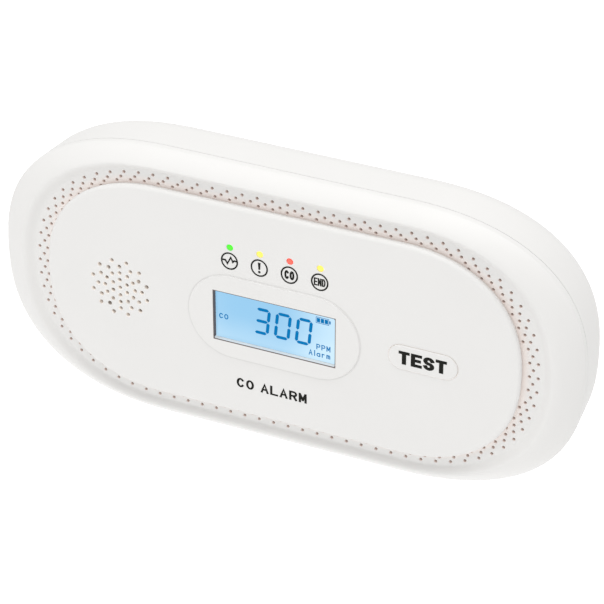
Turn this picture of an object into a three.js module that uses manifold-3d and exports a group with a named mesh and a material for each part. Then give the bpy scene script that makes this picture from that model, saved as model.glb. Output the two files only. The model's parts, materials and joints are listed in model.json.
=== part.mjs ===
// A wall-hung carbon monoxide detector as an assembly of named pieces.
// Millimetres. +X is to the right of someone facing the detector, +Z is up and the front faces -Y.
// The origin is the centre of the flat back, on the wall.

import * as THREE from "three";
import { mergeGeometries, mergeVertices } from "three/addons/utils/BufferGeometryUtils.js";
import Module from "manifold-3d";

const wasm = await Module();
wasm.setup();

// ---- Driving dimensions ----------------------------------------------------------------------
// A depth is measured from the face of the front panel towards the wall.
const CASE_DEPTH = 26; // wall to the face of the front panel
const GAP = 0.3; // running gap between neighbouring pieces

// An outline is two straight edges joined by superellipse ends: half the straight length, the
// reach of an end past it, the half height, and the superellipse power.
const CASE = { straight: 28.55, reach: 45.45, rise: 36.65, power: 2.4 };
const PANEL = { straight: 30.1, reach: 30.2, rise: 28.3, power: 2.26 };
const VENT_ROW = { straight: 30.1, reach: 33.6, rise: 30.5, power: 2.26 };
const VENT_EDGE = { straight: 30.1, reach: 34.4, rise: 31.3, power: 2.26 };
const QUARTER_STEPS = 12; // points on a quarter of an outline
const QUARTER_TURN = Math.PI / 2;

const RIM_FLOOR = 2.3; // depth of the perforated ring
const RIM_CREST = 1; // depth of the highest line of the rim
const RIM_CREST_AT = 0.35; // where the crest lies, from the ring's edge (0) to the case's edge (1)
const RIM_ROLL = 1.3; // power of the roll from the crest to the side
const RIM_EDGE = 5.2; // depth where the rim has rolled over to the side
const SEAM = 6.3; // depth of the front housing's edge
const FLOOR_BACK = 3.9; // depth of the back of the front housing's floor
const TONGUE_INSET = 2.1; // the front housing's tongue stands inside the rear housing's wall
const TONGUE_WALL = 1.1;
const TONGUE_DEPTH = 8.4;

const REAR_WALL = 1.8;
const REAR_BACK_WALL = 2;
const REAR_DRAFT = 0.077; // inset for each millimetre of depth
const REAR_ROUND = 10.1; // radius between the side and the flat back

const PANEL_ROUND = 0.9;
const PANEL_BACK = 2;
const PANEL_UNDERCUT = 0.35;

const BEZEL = { straight: 10.7, reach: 11.3, rise: 11.3, power: 2 };
const BEZEL_AT = { x: -0.7, z: -1.7 };
const BEZEL_RAISE = 0.3;
const WINDOW = { width: 31, height: 13.6 };
const WINDOW_AT = { x: -0.5, z: -1.9 };
const GLASS = { width: 37, height: 18.6, front: 1.2, back: 3.2 };
const GASKET = { lap: 1.2, lip: 0.3, front: 0.85, back: 1.15 };
const BACKLIGHT = { front: 3.4, back: 6, height: 15 };
const CONNECTOR_HEIGHT = 2;

const KEY = { straight: 5.25, reach: 3.05, rise: 3.05, power: 2 };
const KEY_FLANGE = { straight: 5.25, reach: 4.45, rise: 4.45, power: 2 };
const KEY_AT = { x: 36.8, z: -1.35 };
const KEY_RAISE = 0.25;
const KEY_FLANGE_FRONT = 2.3;
const KEY_FLANGE_BACK = 3.1;
const KEY_STEM = { radius: 1.5, front: 2.5, back: 3.85 };
const SWITCH = { side: 6, front: 4.5, back: 6.2, well: 1.9, wellBack: 6 };
const PLUNGER = { radius: 1.6, front: 3.9, back: 5.5 };

const LAMPS = ["power", "fault", "alarm", "end_of_life"];
const LAMP_COLOURS = [0x2fe01c, 0xf5e04c, 0xf4493e, 0xf5e04c];
const LAMP_FIRST_X = -11.7;
const LAMP_PITCH = 7.6;
const LAMP_Z = 17.2;
const PIPE = { radius: 0.9, back: 5, collar: 1.9, collarFront: 4.2 };
const LED = { width: 2, height: 1.6, front: 5.3, back: 6.2 };

const GRILLE_AT = { x: -40.9, z: -1.05 };
const GRILLE_HOLE = 0.55;
const GRILLE_ROOM = 8.6; // radius of the opening behind the grille
// Each ring of grille holes: its radius, how many holes, and the angle of the first.
const GRILLE_RINGS = [
  { radius: 0, count: 1, start: 0 },
  { radius: 2.12, count: 6, start: 30 },
  { radius: 4, count: 12, start: 0 },
  { radius: 5.8, count: 12, start: 0 },
  { radius: 7.4, count: 12, start: 15 },
];
const SOUNDER = { radius: 10.8, wall: 1.2, front: 4.3, back: 13.3 };
const SOUNDER_DISC = { radius: 9.2, front: 9.6, back: 9.9 };
const LEAD_RADIUS = 0.5;

const VENT_COUNT = 86; // holes in one row
const VENT_RADIUS = 0.42;
const VENT_ROW_STEP = 1;
const VENT_EXTRA = { first: 2, last: 8 }; // places of the short fourth row, from each end's tip

const BOARD = { left: -26, right: 50.5, rise: 21, front: 6.3, back: 7.5 };
const BOARD_TAB = { left: -40, foot: 12.5 };
const BOARD_SCREWS = [
  [-36.5, 17],
  [34, 17],
  [32.2, -18.5],
];
const CASE_SCREWS = [
  [-55, 14],
  [55, 14],
  [-55, -14],
  [55, -14],
];
const BOSS = { radius: 3.2, hole: 1.6, back: 12 };
const POST = { radius: 2.6, hole: 1.3, holeFront: 4.3 };
const WELL = { radius: 4.2, bore: 3, seat: 18 };
const SENSOR = { x: 41, z: -12, radius: 8, front: 7.8, back: 20.8, inlet: 2.2 };
const CHIP = { left: 21.5, foot: 4.5, side: 9, front: 5, back: 6.2 };
const CAPACITOR = { x: 41, z: 17, radius: 3.15, back: 15.3 };
const INDUCTOR = { left: 43, foot: 4, side: 6, back: 11.8 };

const CELL = { radius: 7.15, body: 49.3, nub: 2.7, length: 50.5, pitch: 14.6 };
const CELL_DEPTH = 16.9;
const STACK_Z = -0.3;
const BAY = { halfLength: 28.2, foot: -22.6, head: 22.6, front: 8.6, floor: 9.4, wall: 1.4 };
const CONTACT = { half: 6, plate: 0.5, gap: 0.2, reach: 2 };
const SPRING = { wide: 4.6, narrow: 3 };
const DIMPLE = { wide: 2.6, narrow: 1.6 };

const DOOR = { halfLength: 29.6, foot: -23.8, thick: 1.6, pivotZ: 22.6 };
const DOOR_GAP = 0.4;
const LEDGE_DEPTH = 24.2;
const HOOK = { x: 16, half: 3, reach: 3.4, inner: 1.9, outer: 0.7, foot: 2.5 };
const LATCH = { half: 4.6, slot: 0.8, length: 10, nose: 1.4, pocketFront: 22 };
const FINGER = { half: 6, foot: -27.4, depth: 1.1 }; // the notch a fingertip opens the door by
const GRIP = { count: 4, first: 1.6, pitch: 1.5, width: 0.7, depth: 0.35 };

const KEYHOLE = { x: 44, entryZ: 6, entry: 4.5, restZ: 13, slot: 2.3 };

// ---- Materials -------------------------------------------------------------------------------
const finish = (color, roughness, metalness = 0) =>
  new THREE.MeshStandardMaterial({ color, roughness, metalness });

const whiteShell = () => finish(0xededeb, 0.42);
const warmShell = () => finish(0xe9e8e5, 0.45);
const steel = () => finish(0xb9bcc0, 0.3, 1);
const nickel = () => finish(0xc9c6bd, 0.28, 1);

// ---- Shape helpers ---------------------------------------------------------------------------
const yAt = (depth) => depth - CASE_DEPTH;

function inset(outline, amount) {
  return { ...outline, reach: outline.reach - amount, rise: outline.rise - amount };
}

function between(a, b, share) {
  const mix = (key) => THREE.MathUtils.lerp(a[key], b[key], share);
  return {
    straight: mix("straight"),
    reach: mix("reach"),
    rise: mix("rise"),
    power: mix("power"),
  };
}

// The points of an outline as [x, z], anticlockwise as seen from the front.
function outlinePoints({ straight, reach, rise, power }, steps = QUARTER_STEPS) {
  const points = [];
  for (const side of [1, -1]) {
    for (let i = -steps; i <= steps; i++) {
      const angle = (i / steps) * QUARTER_TURN;
      const along = Math.cos(angle) ** (2 / power);
      const up = Math.sign(angle) * Math.abs(Math.sin(angle)) ** (2 / power);
      points.push([side * (straight + reach * along), side * rise * up]);
    }
  }
  return points;
}

const ring = (outline, depth, at = { x: 0, z: 0 }, steps = QUARTER_STEPS) =>
  outlinePoints(outline, steps).map(([x, z]) => [x + at.x, yAt(depth), z + at.z]);

// A closed solid through rings of equal point count, with the first and last ring capped. The
// rings run out over the front, round the edge and back in behind.
function loft(rings) {
  const count = rings[0].length;
  const corners = rings.flat();
  const faces = [];
  for (let r = 0; r + 1 < rings.length; r++) {
    for (let i = 0; i < count; i++) {
      const here = r * count + i;
      const beside = r * count + ((i + 1) % count);
      faces.push(here, beside + count, beside);
      faces.push(here, here + count, beside + count);
    }
  }
  const middle = (points) => [0, 1, 2].map((k) => points.reduce((s, p) => s + p[k], 0) / count);
  const last = (rings.length - 1) * count;
  const front = corners.push(middle(rings[0])) - 1;
  const back = corners.push(middle(rings.at(-1))) - 1;
  for (let i = 0; i < count; i++) {
    const beside = (i + 1) % count;
    faces.push(front, i, beside);
    faces.push(back, last + beside, last + i);
  }
  const geometry = new THREE.BufferGeometry();
  geometry.setAttribute("position", new THREE.Float32BufferAttribute(corners.flat(), 3));
  geometry.setIndex(faces);
  return geometry;
}

function slab(outline, front, back, at, steps = QUARTER_STEPS) {
  return loft([ring(outline, front, at, steps), ring(outline, back, at, steps)]);
}

function block(left, right, front, back, foot, head) {
  const geometry = new THREE.BoxGeometry(right - left, back - front, head - foot);
  return geometry.translate((left + right) / 2, yAt((front + back) / 2), (foot + head) / 2);
}

// A round peg whose axis runs front to back.
function peg(x, z, radius, front, back, sides = 16) {
  const geometry = new THREE.CylinderGeometry(radius, radius, back - front, sides);
  return geometry.translate(x, yAt((front + back) / 2), z);
}

function toSolid(geometry) {
  const bare = geometry.clone();
  bare.deleteAttribute("normal");
  bare.deleteAttribute("uv");
  const merged = mergeVertices(bare, 1e-4);
  const mesh = new wasm.Mesh({
    numProp: 3,
    vertProperties: new Float32Array(merged.attributes.position.array),
    triVerts: new Uint32Array(merged.index.array),
  });
  return new wasm.Manifold(mesh);
}

function toGeometry(solid) {
  const { vertProperties, triVerts } = solid.getMesh();
  const geometry = new THREE.BufferGeometry();
  geometry.setAttribute("position", new THREE.BufferAttribute(vertProperties, 3));
  geometry.setIndex(new THREE.BufferAttribute(triVerts, 1));
  geometry.computeVertexNormals();
  return geometry;
}

// One solid: the base with the joined pieces added and then every cut taken away.
function carve(base, joined, cuts) {
  let solid = toSolid(base);
  for (const piece of joined) {
    solid = solid.add(toSolid(piece));
  }
  for (const cut of cuts) {
    solid = solid.subtract(toSolid(cut));
  }
  return toGeometry(solid);
}

function piece(name, geometry, material) {
  const mesh = new THREE.Mesh(geometry, material);
  mesh.name = name;
  return mesh;
}

// A turned piece whose axis runs along Y: the profile is [radius, distance] from one pole to the
// other, with the distance growing.
function turned(profile, sides = 16) {
  return new THREE.LatheGeometry(
    profile.map(([radius, along]) => new THREE.Vector2(radius, along)),
    sides,
  );
}

const lampX = (index) => LAMP_FIRST_X + index * LAMP_PITCH;

// ---- Front housing ---------------------------------------------------------------------------
// The rim rises from the perforated ring in a half cosine and rolls over to the side in a quarter
// superellipse.
function rimDepth(share) {
  if (share < RIM_CREST_AT) {
    const rise = (1 - Math.cos((Math.PI * share) / RIM_CREST_AT)) / 2;
    return RIM_FLOOR - (RIM_FLOOR - RIM_CREST) * rise;
  }
  const across = (share - RIM_CREST_AT) / (1 - RIM_CREST_AT);
  const rolled = 1 - Math.max(0, 1 - across ** RIM_ROLL) ** (1 / RIM_ROLL);
  return RIM_CREST + (RIM_EDGE - RIM_CREST) * rolled;
}

function rimRings() {
  const shares = [];
  const innerSteps = 4;
  const outerSteps = 7;
  for (let i = 0; i < innerSteps; i++) {
    shares.push((RIM_CREST_AT * i) / innerSteps);
  }
  for (let i = 0; i <= outerSteps; i++) {
    shares.push(RIM_CREST_AT + (1 - RIM_CREST_AT) * Math.sin((i / outerSteps) * QUARTER_TURN));
  }
  return shares.map((share) => ring(between(VENT_EDGE, CASE, share), rimDepth(share)));
}

// Points spaced evenly along an outline, starting at the right-hand tip, as shares of its length.
function spacedAlong(outline, shares) {
  const dense = outlinePoints(outline, 90);
  const tip = 90;
  const loop = [...dense.slice(tip), ...dense.slice(0, tip + 1)];
  const along = [0];
  for (let i = 1; i < loop.length; i++) {
    const [x, z] = loop[i];
    const [lastX, lastZ] = loop[i - 1];
    along.push(along[i - 1] + Math.hypot(x - lastX, z - lastZ));
  }
  const total = along.at(-1);
  return shares.map((share) => {
    const wanted = share * total;
    const next = Math.max(1, along.findIndex((length) => length >= wanted));
    const part = (wanted - along[next - 1]) / (along[next] - along[next - 1]);
    return [0, 1].map((k) => THREE.MathUtils.lerp(loop[next - 1][k], loop[next][k], part));
  });
}

// Three full rows of holes, each set half a pitch from the last, and a fourth at the round ends.
function ventCutter() {
  const quarter = VENT_COUNT / 4;
  const whole = [...Array(VENT_COUNT).keys()];
  const rows = [0, 1, 2].map((row) => whole.map((i) => i + (row % 2) / 2));
  const extra = whole.map((i) => i + 0.5).filter((place) => {
    const fromTip = Math.abs(((place + quarter) % (2 * quarter)) - quarter);
    return fromTip > VENT_EXTRA.first && fromTip < VENT_EXTRA.last + 1;
  });
  const pegs = [...rows, extra].flatMap((places, row) => {
    const line = inset(VENT_ROW, row * VENT_ROW_STEP);
    const shares = places.map((place) => place / VENT_COUNT);
    return spacedAlong(line, shares).map(([x, z]) => peg(x, z, VENT_RADIUS, 2, 4.2, 3));
  });
  return mergeGeometries(pegs);
}

function frontHousing() {
  const tongueOuter = inset(CASE, TONGUE_INSET);
  const tongueInner = inset(CASE, TONGUE_INSET + TONGUE_WALL);
  const shell = loft([
    ...rimRings(),
    ring(CASE, SEAM),
    ring(tongueOuter, SEAM),
    ring(tongueOuter, TONGUE_DEPTH),
    ring(tongueInner, TONGUE_DEPTH),
    ring(tongueInner, FLOOR_BACK),
  ]);
  const bosses = CASE_SCREWS.map(([x, z]) => peg(x, z, BOSS.radius, FLOOR_BACK - 0.5, BOSS.back));
  const posts = BOARD_SCREWS.map(([x, z]) =>
    peg(x, z, POST.radius, FLOOR_BACK - 0.5, BOARD.front - GAP, 12),
  );
  const room = 0.8; // round the display
  const glassLeft = WINDOW_AT.x - GLASS.width / 2 - room;
  const glassRight = WINDOW_AT.x + GLASS.width / 2 + room;
  const glassFoot = WINDOW_AT.z - GLASS.height / 2 - room;
  const glassHead = WINDOW_AT.z + GLASS.height / 2 + room;
  return carve(shell, [...bosses, ...posts], [
    ...CASE_SCREWS.map(([x, z]) => peg(x, z, BOSS.hole, 5.6, BOSS.back + 1, 12)),
    ...BOARD_SCREWS.map(([x, z]) => peg(x, z, POST.hole, POST.holeFront, BOARD.front, 10)),
    block(glassLeft, glassRight, 1, 5, glassFoot, glassHead),
    slab(inset(KEY_FLANGE, -0.4), 1, 5, KEY_AT, 6),
    peg(GRILLE_AT.x, GRILLE_AT.z, GRILLE_ROOM, 1, 5, 24),
    ...LAMPS.map((_, i) => peg(lampX(i), LAMP_Z, 1.3, 1, 5, 10)),
    ventCutter(),
  ]);
}

// ---- Front panel and display -----------------------------------------------------------------
function grilleCutter() {
  const pegs = GRILLE_RINGS.flatMap(({ radius, count, start }) =>
    [...Array(count).keys()].map((i) => {
      const angle = THREE.MathUtils.degToRad(start + (i * 360) / count);
      const x = GRILLE_AT.x + radius * Math.cos(angle);
      const z = GRILLE_AT.z + radius * Math.sin(angle);
      return peg(x, z, GRILLE_HOLE, -1, PANEL_BACK + 1, 6);
    }),
  );
  return mergeGeometries(pegs);
}

function frontPanel() {
  const rounding = [0, 1, 2, 3].map((i) => {
    const angle = (i / 3) * QUARTER_TURN;
    const drawnIn = PANEL_ROUND * (1 - Math.sin(angle));
    return ring(inset(PANEL, drawnIn), PANEL_ROUND * (1 - Math.cos(angle)));
  });
  const plate = loft([...rounding, ring(inset(PANEL, PANEL_UNDERCUT), PANEL_BACK)]);
  const bezel = loft([
    ring(inset(BEZEL, BEZEL_RAISE), -BEZEL_RAISE, BEZEL_AT, 10),
    ring(BEZEL, 0, BEZEL_AT, 10),
    ring(BEZEL, 0.5, BEZEL_AT, 10),
  ]);
  const halfWidth = WINDOW.width / 2;
  const halfHeight = WINDOW.height / 2;
  const pocketRoom = 0.5;
  const pocketWidth = GLASS.width / 2 + pocketRoom;
  const pocketHeight = GLASS.height / 2 + pocketRoom;
  const { x, z } = WINDOW_AT;
  return carve(plate, [bezel], [
    block(x - halfWidth, x + halfWidth, -1, 3, z - halfHeight, z + halfHeight),
    block(x - pocketWidth, x + pocketWidth, 0.8, 3, z - pocketHeight, z + pocketHeight),
    slab(inset(KEY, -GAP), -1, 3, KEY_AT, 8),
    ...LAMPS.map((_, i) => peg(lampX(i), LAMP_Z, PIPE.radius + 0.15, -1, 3, 12)),
    grilleCutter(),
  ]);
}

function displayGasket() {
  const { x, z } = WINDOW_AT;
  const halfWidth = WINDOW.width / 2;
  const halfHeight = WINDOW.height / 2;
  const frame = (grow, front, back) => {
    const across = halfWidth + grow;
    const up = halfHeight + grow;
    return block(x - across, x + across, front, back, z - up, z + up);
  };
  return carve(frame(GASKET.lap, GASKET.front, GASKET.back), [], [frame(-GASKET.lip, 0, 2)]);
}

function displayStack(material) {
  const halfWidth = GLASS.width / 2;
  const foot = WINDOW_AT.z - GLASS.height / 2;
  const head = WINDOW_AT.z + GLASS.height / 2;
  const left = WINDOW_AT.x - halfWidth;
  const right = WINDOW_AT.x + halfWidth;
  const { front, back } = BACKLIGHT;
  return [
    piece("lcd_glass", block(left, right, GLASS.front, GLASS.back, foot, head), material.glass),
    piece(
      "lcd_backlight",
      block(left + 0.5, right - 0.5, front, back, foot, foot + BACKLIGHT.height),
      material.diffuser,
    ),
    piece(
      "lcd_connector",
      block(left + 1.5, right - 1.5, front, back, head - CONNECTOR_HEIGHT, head),
      material.rubber,
    ),
  ];
}

// ---- Test key and its switch -----------------------------------------------------------------
function testButton() {
  const round = 0.3;
  const key = loft([
    ring(inset(KEY, round), -KEY_RAISE, KEY_AT, 10),
    ring(KEY, round - KEY_RAISE, KEY_AT, 10),
    ring(KEY, KEY_FLANGE_FRONT, KEY_AT, 10),
    ring(KEY_FLANGE, KEY_FLANGE_FRONT, KEY_AT, 10),
    ring(KEY_FLANGE, KEY_FLANGE_BACK, KEY_AT, 10),
  ]);
  const { radius, front, back } = KEY_STEM;
  return carve(key, [peg(KEY_AT.x, KEY_AT.z, radius, front, back, 12)], []);
}

function switchBody() {
  const half = SWITCH.side / 2;
  const { x, z } = KEY_AT;
  const body = block(x - half, x + half, SWITCH.front, SWITCH.back, z - half, z + half);
  return carve(body, [], [peg(x, z, SWITCH.well, 4, SWITCH.wellBack, 12)]);
}

// ---- Lamps -----------------------------------------------------------------------------------
function lightPipe(index) {
  const x = lampX(index);
  const stem = peg(x, LAMP_Z, PIPE.radius, 0, PIPE.back, 12);
  return carve(stem, [peg(x, LAMP_Z, PIPE.collar, PIPE.collarFront, PIPE.back, 12)], []);
}

function lamps() {
  return LAMPS.flatMap((name, i) => {
    const x = lampX(i);
    const halfWidth = LED.width / 2;
    const halfHeight = LED.height / 2;
    const led = block(
      x - halfWidth,
      x + halfWidth,
      LED.front,
      LED.back,
      LAMP_Z - halfHeight,
      LAMP_Z + halfHeight,
    );
    return [
      piece("light_pipe_" + name, lightPipe(i), finish(LAMP_COLOURS[i], 0.2)),
      piece("led_" + name, led, finish(0xf4f1e2, 0.5)),
    ];
  });
}

// ---- Sounder ---------------------------------------------------------------------------------
function sounder() {
  const { radius, wall, front, back } = SOUNDER;
  const cup = turned([
    [0, yAt(back - wall)],
    [radius - wall, yAt(back - wall)],
    [radius - wall, yAt(front)],
    [radius, yAt(front)],
    [radius, yAt(back)],
    [0, yAt(back)],
  ], 24);
  const disc = new THREE.CylinderGeometry(
    SOUNDER_DISC.radius,
    SOUNDER_DISC.radius,
    SOUNDER_DISC.back - SOUNDER_DISC.front,
    24,
  );
  disc.translate(0, yAt((SOUNDER_DISC.front + SOUNDER_DISC.back) / 2), 0);
  const group = new THREE.Group();
  group.add(piece("sounder_case", cup, finish(0x26272a, 0.55)));
  group.add(piece("sounder_disc", disc, finish(0xc9a24a, 0.3, 1)));
  group.position.set(GRILLE_AT.x, 0, GRILLE_AT.z);
  return group;
}

// A lead from the back of the sounder to the board's tab, as one smooth curve.
function sounderLead(shift) {
  const route = new THREE.CatmullRomCurve3([
    new THREE.Vector3(-41 + shift, yAt(SOUNDER.back + GAP), 6),
    new THREE.Vector3(-40 + shift, yAt(15.2), 8.5),
    new THREE.Vector3(-35 + shift, yAt(13.4), 14),
    new THREE.Vector3(-32 + shift, yAt(BOARD.back + GAP), 16.5),
  ]);
  const section = new THREE.Shape();
  section.absarc(0, 0, LEAD_RADIUS, 0, Math.PI * 2);
  return new THREE.ExtrudeGeometry(section, { steps: 9, curveSegments: 3, extrudePath: route });
}

// ---- Board and what is on it -----------------------------------------------------------------
function mainBoard() {
  const { left, right, rise, front, back } = BOARD;
  const plate = block(left, right, front, back, -rise, rise);
  const tab = block(BOARD_TAB.left, left + 1, front, back, BOARD_TAB.foot, rise);
  const holes = BOARD_SCREWS.map(([x, z]) => peg(x, z, POST.hole, front - 1, back + 1, 10));
  return carve(plate, [tab], holes);
}

function boardParts() {
  const rear = BOARD.back + GAP;
  const { x, z, radius } = SENSOR;
  const inlet = peg(x, z, SENSOR.inlet, SENSOR.back - 1, SENSOR.back + 1, 10);
  const sensor = carve(peg(x, z, radius, SENSOR.front, SENSOR.back, 24), [], [inlet]);
  const chipRight = CHIP.left + CHIP.side;
  const chipHead = CHIP.foot + CHIP.side;
  const chip = block(CHIP.left, chipRight, CHIP.front, CHIP.back, CHIP.foot, chipHead);
  const capacitor = peg(CAPACITOR.x, CAPACITOR.z, CAPACITOR.radius, rear, CAPACITOR.back);
  const coilRight = INDUCTOR.left + INDUCTOR.side;
  const coilHead = INDUCTOR.foot + INDUCTOR.side;
  const inductor = block(INDUCTOR.left, coilRight, rear, INDUCTOR.back, INDUCTOR.foot, coilHead);
  return [
    piece("controller_chip", chip, finish(0x1c1d20, 0.6)),
    piece("buffer_capacitor", capacitor, finish(0x2c3140, 0.4)),
    piece("boost_inductor", inductor, finish(0x3a3a3d, 0.7)),
    piece("co_sensor", sensor, steel()),
  ];
}

// ---- Screws ----------------------------------------------------------------------------------
// The head is towards the wall and the shank runs to the front.
function screw(headRadius, headHeight, shankRadius, length) {
  const recess = headRadius * 0.45;
  return turned([
    [0, -length],
    [shankRadius * 0.4, -length],
    [shankRadius, -length + 1.2],
    [shankRadius, 0],
    [headRadius, 0],
    [headRadius, headHeight * 0.5],
    [recess * 1.3, headHeight],
    [recess * 0.4, headHeight * 0.4],
    [0, headHeight * 0.4],
  ], 12);
}

function screws(prefix, places, headDepth, geometry) {
  return places.map(([x, z], i) => {
    const mesh = piece(prefix + "_" + (i + 1), geometry, steel());
    mesh.position.set(x, yAt(headDepth), z);
    return mesh;
  });
}

// ---- Rear housing ----------------------------------------------------------------------------
function rearInset(depth) {
  const start = CASE_DEPTH - REAR_ROUND;
  const past = Math.max(0, depth - start);
  const rolled = REAR_ROUND - Math.sqrt(Math.max(0, REAR_ROUND ** 2 - past ** 2));
  return REAR_DRAFT * (depth - SEAM) + rolled;
}

function rearRings(depths, wall) {
  return depths.map((depth) => ring(inset(CASE, rearInset(depth) + wall), depth));
}

function rearShell() {
  const edge = SEAM + GAP;
  const start = CASE_DEPTH - REAR_ROUND;
  const rollSteps = 6;
  const outer = [edge];
  for (let i = 0; i <= rollSteps; i++) {
    outer.push(start + REAR_ROUND * Math.sin((i / rollSteps) * QUARTER_TURN));
  }
  const floor = CASE_DEPTH - REAR_BACK_WALL;
  const inner = [floor, 22.4, 20.4, start, edge];
  return loft([...rearRings(inner, REAR_WALL), ...rearRings(outer, 0)]);
}

function keyholeCuts() {
  const { x, entryZ, entry, restZ, slot } = KEYHOLE;
  const front = CASE_DEPTH - 4;
  const back = CASE_DEPTH + 1;
  return [-x, x].flatMap((at) => [
    peg(at, entryZ, entry, front, back, 20),
    peg(at, restZ, slot, front, back, 16),
    block(at - slot, at + slot, front, back, entryZ, restZ),
  ]);
}

// The door's round top edge turns in a groove about the hinge line.
function hingeGroove() {
  const radius = DOOR.thick + DOOR_GAP;
  const length = (DOOR.halfLength + DOOR_GAP) * 2;
  const geometry = new THREE.CylinderGeometry(radius, radius, length, 24).rotateZ(QUARTER_TURN);
  return geometry.translate(0, -DOOR.thick, DOOR.pivotZ);
}

function hookNotches() {
  const head = DOOR.pivotZ + DOOR.thick + DOOR_GAP;
  const half = HOOK.half + 0.6;
  const front = CASE_DEPTH - 6.8;
  const wallInner = CASE_DEPTH - REAR_BACK_WALL;
  return [-HOOK.x, HOOK.x].flatMap((x) => [
    block(x - half, x + half, front, LEDGE_DEPTH + 0.3, BAY.head - 0.6, head),
    block(x - half, x + half, front, wallInner, head - 0.1, DOOR.pivotZ + HOOK.reach + 1.2),
  ]);
}

function rearHousing() {
  const { halfLength, foot, head, front, floor, wall } = BAY;
  const joined = CASE_DEPTH - REAR_BACK_WALL / 2; // inside the back wall
  const bayHalf = halfLength + wall;
  const bay = block(-bayHalf, bayHalf, front, joined, foot - wall, head + wall);
  const ledgeHalf = halfLength + 3.2;
  const ledge = block(-ledgeHalf, ledgeHalf, 22.8, joined, foot - 3, head + 3.4);
  const wells = CASE_SCREWS.map(([x, z]) => peg(x, z, WELL.radius, BOSS.back + GAP, joined));
  const doorHead = DOOR.pivotZ + DOOR.thick + DOOR_GAP;
  const doorFoot = DOOR.foot - DOOR_GAP;
  const pocket = LATCH.half + 0.6;
  const doorSide = DOOR.halfLength + DOOR_GAP;
  const beyond = CASE_DEPTH + 1;
  return carve(rearShell(), [bay, ledge, ...wells], [
    block(-halfLength, halfLength, floor, beyond, foot, head),
    block(-doorSide, doorSide, LEDGE_DEPTH, beyond, doorFoot, doorHead),
    hingeGroove(),
    ...hookNotches(),
    block(-pocket, pocket, LATCH.pocketFront, LEDGE_DEPTH + 0.3, doorFoot, foot + 1),
    block(-FINGER.half, FINGER.half, CASE_DEPTH - FINGER.depth, beyond, FINGER.foot, DOOR.foot),
    ...CASE_SCREWS.map(([x, z]) => peg(x, z, WELL.bore, WELL.seat, beyond)),
    ...CASE_SCREWS.map(([x, z]) => peg(x, z, BOSS.hole, BOSS.back, WELL.seat + 1, 12)),
    ...keyholeCuts(),
  ]);
}

// ---- Battery door ----------------------------------------------------------------------------
// The section across the door, in [z, y] from the hinge line: a flat plate whose top edge is round
// about the hinge line.
function doorPlate() {
  const section = new THREE.Shape();
  const foot = DOOR.foot - DOOR.pivotZ;
  section.moveTo(0, 0);
  section.lineTo(0, foot);
  section.lineTo(DOOR.thick, foot);
  section.lineTo(DOOR.thick, 0);
  section.absarc(0, 0, DOOR.thick, 0, QUARTER_TURN, false);
  section.closePath();
  const length = DOOR.halfLength * 2;
  const geometry = new THREE.ExtrudeGeometry(section, {
    depth: length,
    bevelEnabled: false,
    curveSegments: 6,
  });
  geometry.applyMatrix4(new THREE.Matrix4().makeBasis(
    new THREE.Vector3(0, 1, 0),
    new THREE.Vector3(0, 0, 1),
    new THREE.Vector3(1, 0, 0),
  ));
  return geometry.translate(-DOOR.halfLength, 0, 0);
}

// A box given from the hinge line: x range, y range and z range.
function fromHinge(left, right, inner, outer, foot, head) {
  const geometry = new THREE.BoxGeometry(right - left, outer - inner, head - foot);
  return geometry.translate((left + right) / 2, (inner + outer) / 2, (foot + head) / 2);
}

function doorHooks() {
  return [-HOOK.x, HOOK.x].flatMap((x) => [
    fromHinge(x - HOOK.half, x + HOOK.half, -HOOK.inner, -HOOK.outer, -HOOK.foot, HOOK.reach),
    fromHinge(x - HOOK.half, x + HOOK.half, -HOOK.inner, 0.4, -HOOK.foot, 0),
  ]);
}

function batteryDoor() {
  const foot = DOOR.foot - DOOR.pivotZ;
  const { half, slot, length, nose } = LATCH;
  const beyond = DOOR.thick + 1;
  const noseHalf = half - 0.4;
  const noseBlock = fromHinge(-noseHalf, noseHalf, -nose, 0.4, foot, foot + 1.3);
  const slots = [-1, 1].map((side) => {
    const middle = side * (half + slot / 2);
    const left = middle - slot / 2;
    return fromHinge(left, left + slot, -1, beyond, foot - 1, foot + length);
  });
  const grips = [...Array(GRIP.count).keys()].map((i) => {
    const start = foot + GRIP.first + i * GRIP.pitch;
    const inner = DOOR.thick - GRIP.depth;
    return fromHinge(1 - half, half - 1, inner, beyond, start, start + GRIP.width);
  });
  const geometry = carve(doorPlate(), [...doorHooks(), noseBlock], [...slots, ...grips]);
  const mesh = piece("battery_door", geometry, warmShell());
  mesh.position.set(0, -DOOR.thick, DOOR.pivotZ);
  return mesh;
}

// ---- Cells and contacts ----------------------------------------------------------------------
const cellZ = (index) => STACK_Z + (1 - index) * CELL.pitch;

function cellGeometry() {
  const half = CELL.length / 2;
  const shoulder = CELL.body - half;
  return turned([
    [0, -half],
    [CELL.radius - 0.6, -half],
    [CELL.radius, -half + 0.6],
    [CELL.radius, shoulder - 0.6],
    [CELL.radius - 0.6, shoulder],
    [CELL.nub, shoulder],
    [CELL.nub, half],
    [0, half],
  ], 20);
}

// Neighbouring cells lie head to tail: the first and third have their nub at +X.
function cells() {
  const geometry = cellGeometry();
  return [0, 1, 2].map((i) => {
    const mesh = piece("battery_cell_" + (i + 1), geometry, finish(0x3b4a5c, 0.35));
    mesh.rotation.z = i % 2 ? QUARTER_TURN : -QUARTER_TURN;
    mesh.position.set(0, yAt(CELL_DEPTH), cellZ(i));
    return mesh;
  });
}

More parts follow.
